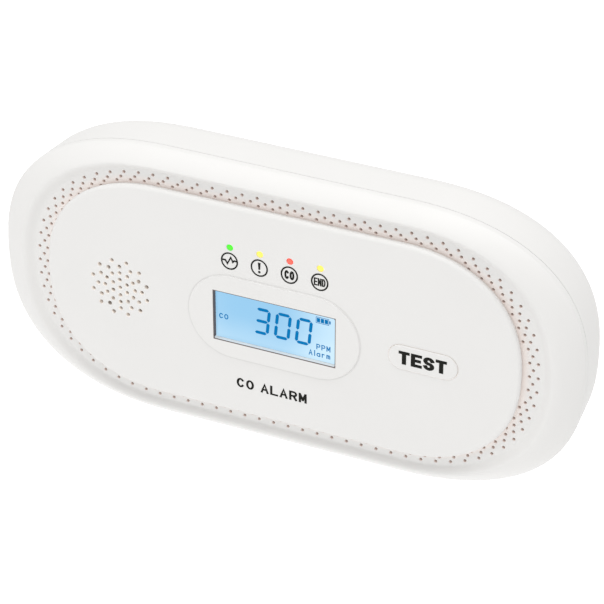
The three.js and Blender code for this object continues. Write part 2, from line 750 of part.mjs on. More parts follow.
// A plate against the end of the bay with a coil spring's outer shape for each negative end and
// a dimple for each positive end. side is -1 at the left end and 1 at the right.
function contact(name, side, ends) {
  const outer = BAY.halfLength - CONTACT.gap;
  const face = outer - CONTACT.plate;
  const low = Math.min(side * outer, side * face);
  const high = Math.max(side * outer, side * face);
  const zs = ends.map(({ cell }) => cellZ(cell));
  const plate = block(
    low,
    high,
    CELL_DEPTH - CONTACT.half,
    CELL_DEPTH + CONTACT.half,
    Math.min(...zs) - CONTACT.half,
    Math.max(...zs) + CONTACT.half,
  );
  const tips = ends.map(({ cell, spring }) => {
    const { wide, narrow } = spring ? SPRING : DIMPLE;
    const lap = 0.2;
    const tip = new THREE.CylinderGeometry(narrow, wide, CONTACT.reach + lap, 16);
    tip.rotateZ(side * QUARTER_TURN);
    const middle = face + lap - (CONTACT.reach + lap) / 2;
    return tip.translate(side * middle, yAt(CELL_DEPTH), cellZ(cell));
  });
  return piece(name, carve(plate, tips, []), nickel());
}

function contacts() {
  return [
    contact("contact_left_pair", -1, [
      { cell: 0, spring: true },
      { cell: 1, spring: false },
    ]),
    contact("contact_left_single", -1, [{ cell: 2, spring: true }]),
    contact("contact_right_single", 1, [{ cell: 0, spring: false }]),
    contact("contact_right_pair", 1, [
      { cell: 1, spring: true },
      { cell: 2, spring: false },
    ]),
  ];
}

// ---- Assembly --------------------------------------------------------------------------------
const detector = new THREE.Group();

detector.add(
  piece("rear_housing", rearHousing(), warmShell()),
  piece("front_housing", frontHousing(), whiteShell()),
  piece("front_panel", frontPanel(), whiteShell()),
  piece("display_gasket", displayGasket(), finish(0x4b4643, 0.7)),
  ...displayStack({
    glass: finish(0xa9d9f5, 0.12),
    diffuser: finish(0xe4f4ff, 0.5),
    rubber: finish(0x5b5b5e, 0.8),
  }),
  piece("test_button", testButton(), whiteShell()),
  piece("switch_body", switchBody(), finish(0x232325, 0.5)),
  piece(
    "switch_plunger",
    peg(KEY_AT.x, KEY_AT.z, PLUNGER.radius, PLUNGER.front, PLUNGER.back, 12),
    finish(0x1b1b1d, 0.5),
  ),
  ...lamps(),
  sounder(),
  piece("sounder_lead_red", sounderLead(1.6), finish(0xb3261e, 0.5)),
  piece("sounder_lead_black", sounderLead(-1.6), finish(0x1d1d1f, 0.5)),
  piece("main_board", mainBoard(), finish(0x2f6b46, 0.4)),
  ...boardParts(),
  ...screws("case_screw", CASE_SCREWS, WELL.seat + 0.2, screw(2.6, 1.9, 1.3, 11.6)),
  ...screws("board_screw", BOARD_SCREWS, BOARD.back + GAP, screw(2, 1, 1, 3.1)),
  ...cells(),
  ...contacts(),
  batteryDoor(),
);

export default detector;
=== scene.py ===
"""Carbon monoxide detector: fine surfaces, finishes and a studio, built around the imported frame.

Lengths are in metres. +X is to the right of someone facing the detector, +Z is up, the front
faces -Y and the wall is the plane y = 0. A shape is a set of rings of corners joined in order.
"""

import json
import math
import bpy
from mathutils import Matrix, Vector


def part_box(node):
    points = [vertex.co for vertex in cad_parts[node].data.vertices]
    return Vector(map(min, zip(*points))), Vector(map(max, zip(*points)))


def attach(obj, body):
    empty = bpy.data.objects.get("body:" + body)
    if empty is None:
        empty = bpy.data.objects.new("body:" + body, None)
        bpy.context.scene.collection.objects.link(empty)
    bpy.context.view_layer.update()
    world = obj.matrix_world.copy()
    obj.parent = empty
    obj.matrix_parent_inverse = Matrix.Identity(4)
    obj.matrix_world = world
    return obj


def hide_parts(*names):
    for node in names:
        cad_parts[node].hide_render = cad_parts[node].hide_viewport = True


bl_info = {
    "name": "Carbon Monoxide Detector",
    "version": (1, 0, 0),
    "blender": (4, 5, 0),
    "location": "3D View > Sidebar > Detector",
    "description": "Builds a carbon monoxide detector and a plain studio around it",
    "category": "Add Mesh",
}

import bpy
import numpy as np
from bpy.props import FloatProperty, FloatVectorProperty, IntProperty, PointerProperty
from mathutils import Matrix, Vector

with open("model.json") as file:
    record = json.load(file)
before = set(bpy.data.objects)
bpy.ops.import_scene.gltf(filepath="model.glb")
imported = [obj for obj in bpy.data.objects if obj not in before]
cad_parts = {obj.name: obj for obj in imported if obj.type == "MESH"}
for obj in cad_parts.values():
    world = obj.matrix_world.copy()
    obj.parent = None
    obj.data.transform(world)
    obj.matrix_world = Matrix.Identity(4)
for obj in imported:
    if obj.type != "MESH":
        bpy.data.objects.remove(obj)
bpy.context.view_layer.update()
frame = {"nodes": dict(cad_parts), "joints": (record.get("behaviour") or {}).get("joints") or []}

MM = 0.001
QUARTER_TURN = math.pi / 2
QUARTER_STEPS = 40  # corners on a quarter of a large outline
SHARP_ANGLE = math.radians(32)

FRONT_LOW, FRONT_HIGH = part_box("front_housing")
REAR_LOW, REAR_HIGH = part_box("rear_housing")
PANEL_LOW, PANEL_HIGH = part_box("front_panel")
KEY_LOW, KEY_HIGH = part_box("test_button")
GLASS_LOW, GLASS_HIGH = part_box("lcd_glass")
DOOR_LOW, DOOR_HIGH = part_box("battery_door")
PIPE_NODES = ("light_pipe_power", "light_pipe_fault", "light_pipe_alarm", "light_pipe_end_of_life")
PIVOT = Vector(next(j for j in frame["joints"] if j["name"] == "battery_door_hinge")["pos_m"])
PAD_RAISE = 0.3 * MM  # how far the pad round the window stands in front of the panel's face
PANEL_FACE = PANEL_LOW.y + PAD_RAISE
CASE_SCREWS = [f"case_screw_{i}" for i in (1, 2, 3, 4)]
BOARD_SCREWS = [f"board_screw_{i}" for i in (1, 2, 3)]
SCREW_HOLE = 1.6 * MM  # radius of the hole that a case screw runs in
KEYHOLE_X = 44 * MM  # from the middle to either keyhole
HOOKS = (-16, 16)  # places of the door's two hooks along X, in millimetres


# ---- Sizes and colours -----------------------------------------------------------------------
def length(name, description, millimetres):
    return FloatProperty(
        name=name,
        description=description,
        default=millimetres * MM,
        unit="LENGTH",
        subtype="DISTANCE",
        precision=5,
    )


def colour(name, description, red, green, blue):
    return FloatVectorProperty(
        name=name,
        description=description,
        default=(red, green, blue),
        size=3,
        min=0.0,
        max=1.0,
        subtype="COLOR",
    )


class DetectorCase(bpy.types.PropertyGroup):
    """Sizes of the two housings."""

    straight: length("Straight", "Half the straight length of the case's edge", 28.55)
    power: FloatProperty(
        name="End power", description="Superellipse power of the round ends", default=2.4
    )
    crest_share: FloatProperty(
        name="Crest place", description="Place of the rim's crest across the rim", default=0.35
    )
    roll: FloatProperty(
        name="Rim roll", description="Power of the roll from the crest to the side", default=1.3
    )
    edge_depth: length("Rim edge", "Depth where the rim has rolled over to the side", 5.2)
    seam_gap: length("Seam gap", "Visible gap between the two housings", 0.07)
    seam_round: length("Seam rounding", "Rounding of both edges at the seam", 0.12)
    floor_depth: length("Ring depth", "Depth of the perforated ring", 2.3)
    floor_back: length("Ring back", "Depth of the back of the perforated ring", 3.9)
    tongue_inset: length("Tongue inset", "Inset of the tongue inside the rear housing", 2.1)
    tongue_wall: length("Tongue wall", "Thickness of the tongue", 1.1)
    tongue_depth: length("Tongue depth", "Depth of the tongue's end", 8.4)
    rear_wall: length("Rear wall", "Thickness of the rear housing's side", 1.8)
    back_wall: length("Back wall", "Thickness of the rear housing's back", 2)
    rear_draft: FloatProperty(
        name="Rear draft", description="Inset of the rear's side for each unit of depth", default=0.077
    )
    rear_round: length("Rear rounding", "Radius between the side and the flat back", 10.1)


class DetectorVents(bpy.types.PropertyGroup):
    """Sizes of the vent holes round the panel."""

    count: IntProperty(name="Holes", description="Holes in one full row", default=86)
    radius: length("Hole radius", "Radius of a vent hole", 0.39)
    chamfer: length("Hole chamfer", "Chamfer at a vent hole's mouth", 0.08)
    row_step: length("Row step", "Distance between rows", 1)
    straight: length("Straight", "Half the straight length of a row", 30.1)
    half_length: length("Half length", "Half length of the outermost row", 63.7)
    half_height: length("Half height", "Half height of the outermost row", 30.5)
    margin: length("Margin", "Flat floor outside the outermost row", 0.8)
    power: FloatProperty(
        name="End power", description="Superellipse power of the rows' round ends", default=2.26
    )


class DetectorPanel(bpy.types.PropertyGroup):
    """Sizes of the front panel, the window in it and the key."""

    straight: length("Straight", "Half the straight length of the panel's edge", 30.1)
    power: FloatProperty(
        name="End power", description="Superellipse power of the panel's ends", default=2.26
    )
    rounding: length("Edge rounding", "Radius of the panel's edge", 0.9)
    undercut: length("Undercut", "How far the edge draws in behind its rounding", 0.35)
    bezel_raise: length(
        "Bezel height", "Height of the raised pad round the window", PAD_RAISE / MM
    )
    bezel_straight: length("Bezel straight", "Half the straight length of the pad", 10.7)
    bezel_radius: length("Bezel radius", "Radius of the pad's ends", 11.3)
    bezel_x: length("Bezel place", "Place of the pad's centre along X", -0.7)
    bezel_z: length("Bezel height place", "Place of the pad's centre along Z", -1.7)
    window_width: length("Window width", "Width of the display window", 31)
    window_height: length("Window height", "Height of the display window", 13.25)
    grille_x: length("Grille place", "Place of the grille's centre along X", -40.9)
    grille_z: length("Grille height place", "Place of the grille's centre along Z", -1.05)
    grille_hole: length("Grille hole", "Radius of a grille hole", 0.52)
    key_gap: length("Key gap", "Gap round the key", 0.07)
    key_half_height: length("Key half height", "Half height of the key's face", 3.25)
    key_half_length: length("Key half length", "Half length of the key's face", 8.5)
    key_round: length("Key rounding", "Rounding of the key's face", 0.35)


class DetectorFinish(bpy.types.PropertyGroup):
    """Colours of the detector's finishes."""

    shell: colour("Shell", "Moulded shell", 0.755, 0.747, 0.733)
    # painted shade: the warm darker colour laid in the vent ring beside the panel's edge
    ring: colour("Vent ring", "Tint of the sunk vent ring", 0.76, 0.68, 0.64)
    ink: colour("Ink", "Printed legends", 0.006, 0.0062, 0.004)
    glow_low: colour("Display middle", "Backlight in the middle of the display", 0.27, 0.58, 0.86)
    glow_high: colour("Display edge", "Backlight near the edges of the display", 0.62, 0.85, 1.0)
    segment: colour("Segments", "Dark segments of the display", 0.002, 0.13, 0.33)
    green: colour("Green lamp", "Power lamp", 0.05, 0.72, 0.004)
    yellow: colour("Yellow lamp", "Fault and end-of-life lamps", 0.93, 0.74, 0.09)
    red: colour("Red lamp", "Alarm lamp", 0.93, 0.09, 0.06)


class DetectorStudio(bpy.types.PropertyGroup):
    """The camera and the lights."""

    azimuth: FloatProperty(
        name="Azimuth", description="Camera's turn to the right", subtype="ANGLE",
        default=math.radians(24.03),
    )
    elevation: FloatProperty(
        name="Elevation", description="Camera's height", subtype="ANGLE",
        default=math.radians(32.15),
    )
    roll: FloatProperty(
        name="Roll", description="Camera's roll", subtype="ANGLE", default=math.radians(0.053)
    )
    distance: length("Distance", "Camera to the point it looks at", 610.2)
    lens: FloatProperty(name="Lens", description="Focal length in millimetres", default=157.94)
    aim_x: length("Aim across", "Point looked at, along X", 6.58)
    aim_z: length("Aim up", "Point looked at, along Z", 7.12)
    floor_drop: length("Floor", "How far the floor lies below the detector", 150)
    world: FloatProperty(name="World", description="Strength of the white surroundings", default=0.62)
    key_light: FloatProperty(name="Key light", description="Power of the light above", default=7.9)
    fill_light: FloatProperty(name="Fill light", description="Power of the light at the left", default=1.0)
    low_light: FloatProperty(name="Low light", description="Power of the light below", default=0.4)


GROUPS = {
    "detector_case": DetectorCase,
    "detector_vents": DetectorVents,
    "detector_panel": DetectorPanel,
    "detector_finish": DetectorFinish,
    "detector_studio": DetectorStudio,
}


# ---- Shapes ----------------------------------------------------------------------------------
def outline(straight, half_length, half_height, power=2.0, grow=0.0, steps=QUARTER_STEPS):
    """Two straight edges joined by half a superellipse at each end, anticlockwise from the front:
    x = side * (straight + reach * cos(a)^(2/power)), z = half_height * sin(a)^(2/power), for a
    from a quarter turn below level to a quarter turn above it."""
    turn = np.linspace(-QUARTER_TURN, QUARTER_TURN, 2 * steps + 1)
    along = np.abs(np.cos(turn)) ** (2 / power)
    up = np.sign(turn) * np.abs(np.sin(turn)) ** (2 / power)
    x = straight + (half_length - straight + grow) * along
    right = np.column_stack((x, (half_height + grow) * up))
    return np.concatenate((right, -right))


def circle(radius, sides=24):
    """x = radius * cos(a), z = radius * sin(a)."""
    turn = np.arange(sides) * 2 * np.pi / sides
    return radius * np.column_stack((np.cos(turn), np.sin(turn)))


def rectangle(width, height, corner=0.0, grow=0.0, steps=5):
    """A rectangle whose corners are quarter circles about four centres."""
    if corner + grow <= 0:
        x, z = width / 2 + grow, height / 2 + grow
        return np.array([(x, -z), (x, z), (-x, z), (-x, -z)])
    turn = np.linspace(0, QUARTER_TURN, steps + 1)
    x, z = width / 2 - corner, height / 2 - corner
    centres = ((x, -z), (x, z), (-x, z), (-x, -z))
    quarters = [
        np.array(centre) + (corner + grow) * np.column_stack((np.cos(turn + a), np.sin(turn + a)))
        for centre, a in zip(centres, (-QUARTER_TURN, 0, QUARTER_TURN, math.pi))
    ]
    return np.concatenate(quarters)


def at_y(points, y, at=(0.0, 0.0)):
    """Points of an outline in (x, z), set at one y and moved by at."""
    return np.column_stack((points[:, 0] + at[0], np.full(len(points), y), points[:, 1] + at[1]))


class Shape:
    """Corners and faces of one or more closed surfaces, gathered before they go into a mesh."""

    def __init__(self):
        self.corners = []
        self.faces = []
        self.total = 0

    def rings(self, rings, closed=False):
        """Joins each ring to the next by four-sided faces, and caps the two ends unless the
        rings close on themselves. A ring runs anticlockwise seen along the way of travel."""
        grid = np.asarray(rings, float)
        many, count = grid.shape[:2]
        number = np.arange(many * count).reshape(many, count)
        after = np.roll(number, -1, 0) if closed else number[1:]
        here = number if closed else number[:-1]
        quads = np.stack((here, after, np.roll(after, -1, 1), np.roll(here, -1, 1)), -1)
        quads += self.total
        self.faces += quads.reshape(-1, 4).tolist()
        if not closed:
            caps = number + self.total
            self.faces += [caps[0].tolist(), caps[-1][::-1].tolist()]
        self.corners.append(grid.reshape(-1, 3))
        self.total += many * count
        return self

    def plate(self, points, front, back, at=(0.0, 0.0)):
        """An outline in (x, z) carried straight back from one y to another."""
        return self.rings([at_y(points, front, at), at_y(points, back, at)])

    def box(self, low, high):
        """A block between two corners."""
        across = np.array(
            [(high[0], low[2]), (high[0], high[2]), (low[0], high[2]), (low[0], low[2])]
        )
        return self.plate(across, low[1], high[1])

    def turned(self, profile, origin, axis=(0, 1, 0), sides=32):
        """A profile of (radius, distance along the axis) turned about the axis:
        p = origin + distance * axis + radius * (cos(a) * u + sin(a) * v)."""
        axis = np.array(axis, float)
        u = np.array((1.0, 0, 0)) if abs(axis[0]) < 0.5 else np.array((0, 1.0, 0))
        v = np.cross(u, axis)
        turn = np.arange(sides) * 2 * np.pi / sides
        wheel = np.outer(np.cos(turn), u) + np.outer(np.sin(turn), v)
        profile = np.array(profile, float)
        spine = np.array(origin, float) + profile[:, 1:2] * axis
        return self.rings(spine[:, None] + profile[:, 0, None, None] * wheel)

    def ribbon(self, path, width, front, back, closed=False, wider=1.0, cap=0.0):
        """A flat strip between two depths: each point of the path moves half the width to both
        sides along the mitre of its two edges. Upright strips are wider times as broad as level
        ones, and cap carries an open strip on past its ends."""
        path = np.array(path, float) / (wider, 1)
        ahead = np.roll(path, -1, 0) - path
        if not closed:
            ahead[-1] = ahead[-2]
        ahead /= np.linalg.norm(ahead, axis=1)[:, None]
        if not closed:
            path[0] -= cap * ahead[0]
            path[-1] += cap * ahead[-1]
        behind = np.roll(ahead, 1, 0)
        if not closed:
            behind[0] = ahead[0]
        left_of = np.column_stack((-ahead[:, 1], ahead[:, 0]))
        mitre = left_of + np.column_stack((-behind[:, 1], behind[:, 0]))
        mitre /= np.linalg.norm(mitre, axis=1)[:, None]
        stretch = width / 2 / np.maximum(0.55, (mitre * left_of).sum(1))
        left = (path + mitre * stretch[:, None]) * (wider, 1)
        right = (path - mitre * stretch[:, None]) * (wider, 1)
        section = (at_y(left, front), at_y(left, back), at_y(right, back), at_y(right, front))
        return self.rings(np.stack(section, 1), closed=closed)

    def segment(self, start, end, width, front, back):
        """A display segment: a strip with a point at each end."""
        start, end = np.array(start, float), np.array(end, float)
        along = (end - start) / np.linalg.norm(end - start) * width / 2
        across = np.array((along[1], -along[0]))
        flat = np.array((
            start, start + along + across, end - along + across,
            end, end - along - across, start + along - across,
        ))
        return self.plate(flat, front, back)

    def mesh(self, name):
        made = bpy.data.meshes.new(name)
        made.from_pydata(np.concatenate(self.corners).tolist(), [], self.faces)
        made.update()
        return made


def cutter(outline_of, front, back, at, fillet, steps=4):
    """A plug that leaves a rounded mouth: outline_of(grow) gives its outline, which is grown by
    fillet at the front and draws in along a quarter circle over that depth."""
    turn = np.linspace(0, QUARTER_TURN, steps + 1)
    rings = [at_y(outline_of(fillet), front - fillet, at)]
    for angle in turn:
        grow = fillet * (1 - math.sin(angle))
        rings.append(at_y(outline_of(grow), front + fillet * (1 - math.cos(angle)), at))
    rings.append(at_y(outline_of(0), back, at))
    return Shape().rings(rings)


def added(*shapes):
    """Steps of combined() that join each shape on."""
    return [("UNION", shape) for shape in shapes]


def cut_away(*shapes):
    """Steps of combined() that take each shape away."""
    return [("DIFFERENCE", shape) for shape in shapes]


def combined(name, base, steps):
    """One mesh: the base shape with each (operation, shape) of steps carried out in order."""
    whole = bpy.data.objects.new(name, base.mesh(name))
    bpy.context.scene.collection.objects.link(whole)
    helpers = [whole]
    for operation, shape in steps:
        helper = bpy.data.objects.new(name + "_step", shape.mesh(name + "_step"))
        bpy.context.scene.collection.objects.link(helper)
        helpers.append(helper)
        modifier = whole.modifiers.new(operation, "BOOLEAN")
        modifier.operation = operation
        modifier.solver = "MANIFOLD"
        modifier.object = helper
    depsgraph = bpy.context.evaluated_depsgraph_get()
    made = bpy.data.meshes.new_from_object(whole.evaluated_get(depsgraph))
    for helper in helpers:
        bpy.data.objects.remove(helper)
    if not made.polygons:
        raise RuntimeError(f"{name} came out empty")
    made.name = name
    return made


def piece(name, mesh, finish, body, slot, *nodes):
    """A finished piece: smooth where its faces meet softly, riding on a body of the frame."""
    if isinstance(mesh, Shape):
        mesh = mesh.mesh(name)
    mesh.shade_smooth()
    mesh.set_sharp_from_angle(angle=SHARP_ANGLE)
    mesh.materials.clear()
    mesh.materials.append(finish.material)
    made = bpy.data.objects.new(name, mesh)
    bpy.context.scene.collection.objects.link(made)
    flatten = made.modifiers.new("flat faces stay flat", "WEIGHTED_NORMAL")
    flatten.keep_sharp = True
    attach(made, body)
    if nodes:
        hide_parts(*nodes)
    return made


def dress(node, finish):
    """Gives a CAD node that stays visible its finish."""
    mesh = frame["nodes"][node].data
    mesh.materials.clear()
    mesh.materials.append(finish.material)


# ---- Finishes --------------------------------------------------------------------------------
DRIFT_SIZE = 22 * MM  # size of the slow changes in the shell's colour
WALL_FROM, WALL_TO = 0.02 * MM, 0.08 * MM  # a hole's wall starts between these depths
GLOW_STRENGTH = 0.9  # strength of the painted glows on the shell: in the holes' walls, along the panel's edge in the vent ring and in the key's gap


class Value:
    """A shader socket. Arithmetic on values adds Math nodes."""

    def __init__(self, finish, socket):
        self.finish = finish
        self.socket = socket

    def math(self, operation, *others):
        settings = {"operation": operation}
        return self.finish.node("ShaderNodeMath", settings, dict(enumerate((self, *others))))

    def size(self):
        return self.math("ABSOLUTE")

    def power(self, exponent):
        return self.math("POWER", exponent)

    def at_least(self, other):
        return self.math("MAXIMUM", other)

    def at_most(self, other):
        return self.math("MINIMUM", other)

    def __add__(self, other):
        return self.math("ADD", other)

    def __sub__(self, other):
        return self.math("SUBTRACT", other)

    def __rsub__(self, other):
        return self.finish.node("ShaderNodeMath", {"operation": "SUBTRACT"}, {0: other, 1: self})

    def __mul__(self, other):
        return self.math("MULTIPLY", other)

    def __truediv__(self, other):
        return self.math("DIVIDE", other)

    __radd__ = __add__
    __rmul__ = __mul__


class Finish:
    """A material built on one Principled shader, with object coordinates to place patterns."""

    def __init__(self, name, **uniform):
        self.material = bpy.data.materials.new(name)
        self.material.use_nodes = True
        self.tree = self.material.node_tree
        self.shader = self.tree.nodes["Principled BSDF"]
        for socket, value in uniform.items():
            self.set(socket.replace("_", " ").title().replace("Ior", "IOR"), value)

    def set(self, socket, value):
        target = self.shader.inputs[socket]
        if isinstance(value, Value):
            self.tree.links.new(value.socket, target)
        elif isinstance(value, (int, float)):
            target.default_value = value
        else:
            target.default_value = (*value, 1.0)

    def node(self, kind, settings=None, inputs=None, output=0):
        made = self.tree.nodes.new(kind)
        for key, value in (settings or {}).items():
            setattr(made, key, value)
        for key, value in (inputs or {}).items():
            if isinstance(value, Value):
                self.tree.links.new(value.socket, made.inputs[key])
            elif hasattr(value, "__len__") and len(value) == 3 and made.inputs[key].type == "RGBA":
                made.inputs[key].default_value = (*value, 1.0)
            else:
                made.inputs[key].default_value = value
        return Value(self, made.outputs[output])

    def place(self, axis=None):
        where = self.node("ShaderNodeTexCoord", output="Object")
        if axis is None:
            return where
        return self.node("ShaderNodeSeparateXYZ", None, {0: where}, output=axis)

    def noise(self, size, detail=2.0, roughness=0.5):
        """Smooth noise from 0 to 1 whose features are about size across."""
        inputs = {"Vector": self.place(), "Scale": 1 / size, "Detail": detail, "Roughness": roughness}
        return self.node("ShaderNodeTexNoise", None, inputs)

    def ramp(self, value, low, high):
        """0 below low, 1 above high, and smooth between."""
        settings = {"interpolation_type": "SMOOTHSTEP"}
        inputs = {"Value": value, "From Min": low, "From Max": high}
        return self.node("ShaderNodeMapRange", settings, inputs)

    def mix(self, share, first, second):
        settings = {"data_type": "RGBA"}
        return self.node("ShaderNodeMix", settings, {0: share, 6: first, 7: second}, output=2)

    def bump(self, height, depth):
        inputs = {"Height": height, "Distance": depth, "Strength": 1.0}
        self.set("Normal", self.node("ShaderNodeBump", None, inputs))


def shaded(tint, share):
    """A colour times a number, with no channel over 1."""
    return [min(1.0, channel * share) for channel in tint]


def drifting(finish, drift, shell):
    """The shell's colour, which drifts slowly between two tones."""
    return finish.mix(drift, shaded(shell, 0.965), shell)


def moulded_shell(name, shell, grain=5.0, sheen=0.42):
    """Spark-textured ABS: a fine grain in the surface, and slow drifts of colour and gloss."""
    finish = Finish(name, specular_ior_level=0.3)
    drift = finish.noise(DRIFT_SIZE, 3)
    finish.set("Base Color", drifting(finish, drift, shell))
    fine = finish.noise(0.16 * MM, 4, 0.6)
    finish.set("Roughness", sheen + 0.05 * drift + 0.06 * fine)
    finish.bump(fine, grain * 1e-6)
    return finish


def ring_shaded_shell(name, shell, tint, panel, floor):
    """The shell with a warm painted shade and a painted glow in the sunk vent ring beside the panel:
    their share falls from the panel's edge outwards, by f = (((|x| - straight) / reach)^n +
    (|z| / rise)^n)^(1/n), which is 1 at that edge. The walls of the holes are painted darker with
    depth, as shade, and given a painted glow."""
    finish = moulded_shell(name, shell)
    reach = (PANEL_HIGH.x - PANEL_LOW.x) / 2 - panel.straight
    rise = (PANEL_HIGH.z - PANEL_LOW.z) / 2
    across = (finish.place("X").size() - panel.straight).at_least(0.0) / reach
    up = finish.place("Z").size() / rise
    n = panel.power
    place = (across.power(n) + up.power(n)).power(1 / n)
    # painted shade beside the panel's edge, where the panel shades the sunk ring, fading outwards and a
    # little uneven
    near = finish.ramp(place, 0.95, 0.97) * (1 - finish.ramp(place, 0.985, 1.075))
    shade = near * (0.75 + 0.25 * finish.noise(3 * MM))
    within = 1 - finish.ramp(place, 1.17, 1.18)
    y = finish.place("Y")
    walls = within * finish.ramp(y, floor + WALL_FROM, floor + WALL_TO)
    deep = finish.ramp(y, floor + 0.1 * MM, floor + 1.0 * MM)
    plain = drifting(finish, finish.noise(DRIFT_SIZE, 3), shell)
    panel_shaded = finish.mix(shade.at_most(1 - walls), plain, tint)
    # painted shade: the holes' walls darken with depth
    painted_hole_shade = finish.mix(deep, (0.66, 0.58, 0.54), (0.30, 0.235, 0.21))
    finish.set("Base Color", finish.mix(walls, panel_shaded, painted_hole_shade))
    finish.set("Emission Strength", GLOW_STRENGTH)
    # painted glow in the holes' walls, standing in for light that reaches into them
    painted_hole_glow = finish.mix(deep, (0.20, 0.165, 0.15), (0.10, 0.075, 0.065))
    # painted glow along the panel's edge, which lightens the ring there
    glow = finish.mix(near, (0, 0, 0), (0.155, 0.138, 0.13))
    finish.set("Emission Color", finish.mix(walls, glow, painted_hole_glow))
    return finish


def panel_skin(name, shell, panel):
    """The panel's shell: a thin dark line round the window, a dark left wall in it, a faint painted
    shade at the foot of the pad, grille hole walls painted warm and darker with depth as shade, with
    a painted glow, and a painted glow in the gap round the key."""
    finish = moulded_shell(name, shell)
    centre_x, centre_z = place_of("display_gasket")
    x, y, z = (finish.place(axis) for axis in "XYZ")
    beside = (x - centre_x).size() - panel.window_width / 2
    above = (z - centre_z).size() - panel.window_height / 2
    close = 1 - finish.ramp(beside.at_least(above), 0.14 * MM, 0.24 * MM)
    surface = 1 - finish.ramp(y, PANEL_LOW.y + 0.1 * MM, PANEL_LOW.y + 0.18 * MM)
    from_left = x - centre_x + panel.window_width / 2
    left_wall = 1 - finish.ramp(from_left, 0.02 * MM, 0.05 * MM)
    dark = close * surface.at_least(left_wall)
    plain = drifting(finish, finish.noise(DRIFT_SIZE, 3), shell)
    lined = finish.mix(dark, plain, (0.115, 0.085, 0.08))
    across = (x - panel.bezel_x).size() - panel.bezel_straight
    reach = (across.at_least(0.0).power(2.0) + (z - panel.bezel_z).power(2.0)).math("SQRT")
    past = reach - panel.bezel_radius
    # painted shade round the foot of the raised pad
    pad_foot_shade = finish.ramp(past, -0.25 * MM, 0.0) * (1 - finish.ramp(past, 0.05 * MM, 0.35 * MM))
    lined = finish.mix(pad_foot_shade * 0.5, lined, shaded(shell, 0.8))
    out = ((x - panel.grille_x).power(2.0) + (z - panel.grille_z).power(2.0)).math("SQRT")
    in_grille = 1 - finish.ramp(out, GRILLE_REACH - 0.2 * MM, GRILLE_REACH)
    key_x, key_z = place_of("test_button")
    key_side = (x - key_x).size() - panel.key_half_length
    key_end = (z - key_z).size() - panel.key_half_height
    by_key = (1 - finish.ramp(key_side, 0.3 * MM, 0.5 * MM)) * (
        1 - finish.ramp(key_end, 0.3 * MM, 0.5 * MM)
    )
    inside = finish.ramp(y, PANEL_FACE + WALL_FROM, PANEL_FACE + WALL_TO)
    walls = in_grille * inside
    deep = finish.ramp(y, PANEL_FACE + 0.15 * MM, PANEL_FACE + 1.3 * MM)
    # painted shade: the grille holes' walls darken with depth
    painted_hole_shade = finish.mix(deep, (0.70, 0.655, 0.61), (0.34, 0.28, 0.24))
    finish.set("Base Color", finish.mix(walls, lined, painted_hole_shade))
    uneven = finish.ramp(finish.noise(1.7 * MM, 1), 0.32, 0.5)
    # painted glow in the grille holes' walls
    painted_hole_glow = finish.mix(deep, (0.38, 0.355, 0.325), (0.10, 0.085, 0.075))
    finish.set("Emission Strength", GLOW_STRENGTH)
    # painted glow in the gap round the key, which lightens the shade there
    gap_glow = finish.mix(by_key * inside, (0, 0, 0), (0.34, 0.29, 0.26))
    finish.set("Emission Color", finish.mix(walls * uneven, gap_glow, painted_hole_glow))
    return finish


def printed_ink(name, ink):
    """Pad-printed ink: nearly black, a little uneven."""
    finish = Finish(name, specular_ior_level=0.08)
    patchy = finish.noise(0.5 * MM, 3)
    finish.set("Base Color", finish.mix(patchy, ink, [c + 0.008 for c in ink]))
    finish.set("Roughness", 0.38 + 0.12 * patchy)
    return finish


def backlit_display(name, middle, edge):
    """The lit display: paler towards the right end and the foot, and a little at the left end."""
    finish = Finish(name, base_color=(0.02, 0.03, 0.04), roughness=0.12)
    half = (GLASS_HIGH.x - GLASS_LOW.x) / 2
    centre_x, centre_z = place_of("lcd_glass")
    across = (finish.place("X") - centre_x) / half
    down = (centre_z - finish.place("Z")) / half
    right = finish.ramp(across, 0.0, 0.9)
    left = finish.ramp(0 - across, 0.55, 1.0)
    foot = finish.ramp(down, -0.1, 0.42)
    cloud = finish.noise(9 * MM, 1)
    share = (0.85 * right + 0.16 * left + 0.42 * foot + 0.08 * cloud).at_most(1.0)
    finish.set("Emission Color", finish.mix(share, middle, edge))
    finish.set("Emission Strength", 0.93)
    return finish


def glowing(name, tint, strength):
    """Tinted clear plastic over a lit chip, a little cloudy."""
    finish = Finish(name, roughness=0.22)
    cloudy = finish.noise(0.5 * MM, 2)
    finish.set("Base Color", finish.mix(cloudy, tint, shaded(tint, 1.2)))
    finish.set("Emission Color", finish.mix(cloudy, tint, [min(1.0, c * 1.1 + 0.02) for c in tint]))
    finish.set("Emission Strength", strength)
    return finish


def plain_plastic(name, tint, roughness=0.5, grain=4.0):
    finish = Finish(name)
    fine = finish.noise(0.3 * MM, 3)
    finish.set("Base Color", finish.mix(fine, shaded(tint, 0.9), tint))
    finish.set("Roughness", roughness + 0.1 * fine)
    finish.bump(fine, grain * 1e-6)
    return finish


def metal(name, tint, roughness=0.3, brushed_along="X"):
    """Plated or brushed metal: long fine streaks across one axis."""
    finish = Finish(name, metallic=1.0)
    stretch = {"X": (60, 2500, 2500), "Y": (2500, 60, 2500), "Z": (2500, 2500, 60)}[brushed_along]
    drawn = finish.node("ShaderNodeMapping", None, {"Vector": finish.place(), "Scale": stretch})
    streak = finish.node("ShaderNodeTexNoise", None, {"Vector": drawn, "Scale": 1.0, "Detail": 3.0})
    finish.set("Base Color", finish.mix(streak, shaded(tint, 0.86), tint))
    finish.set("Roughness", roughness + 0.14 * streak)
    finish.bump(streak, 3e-6)
    return finish


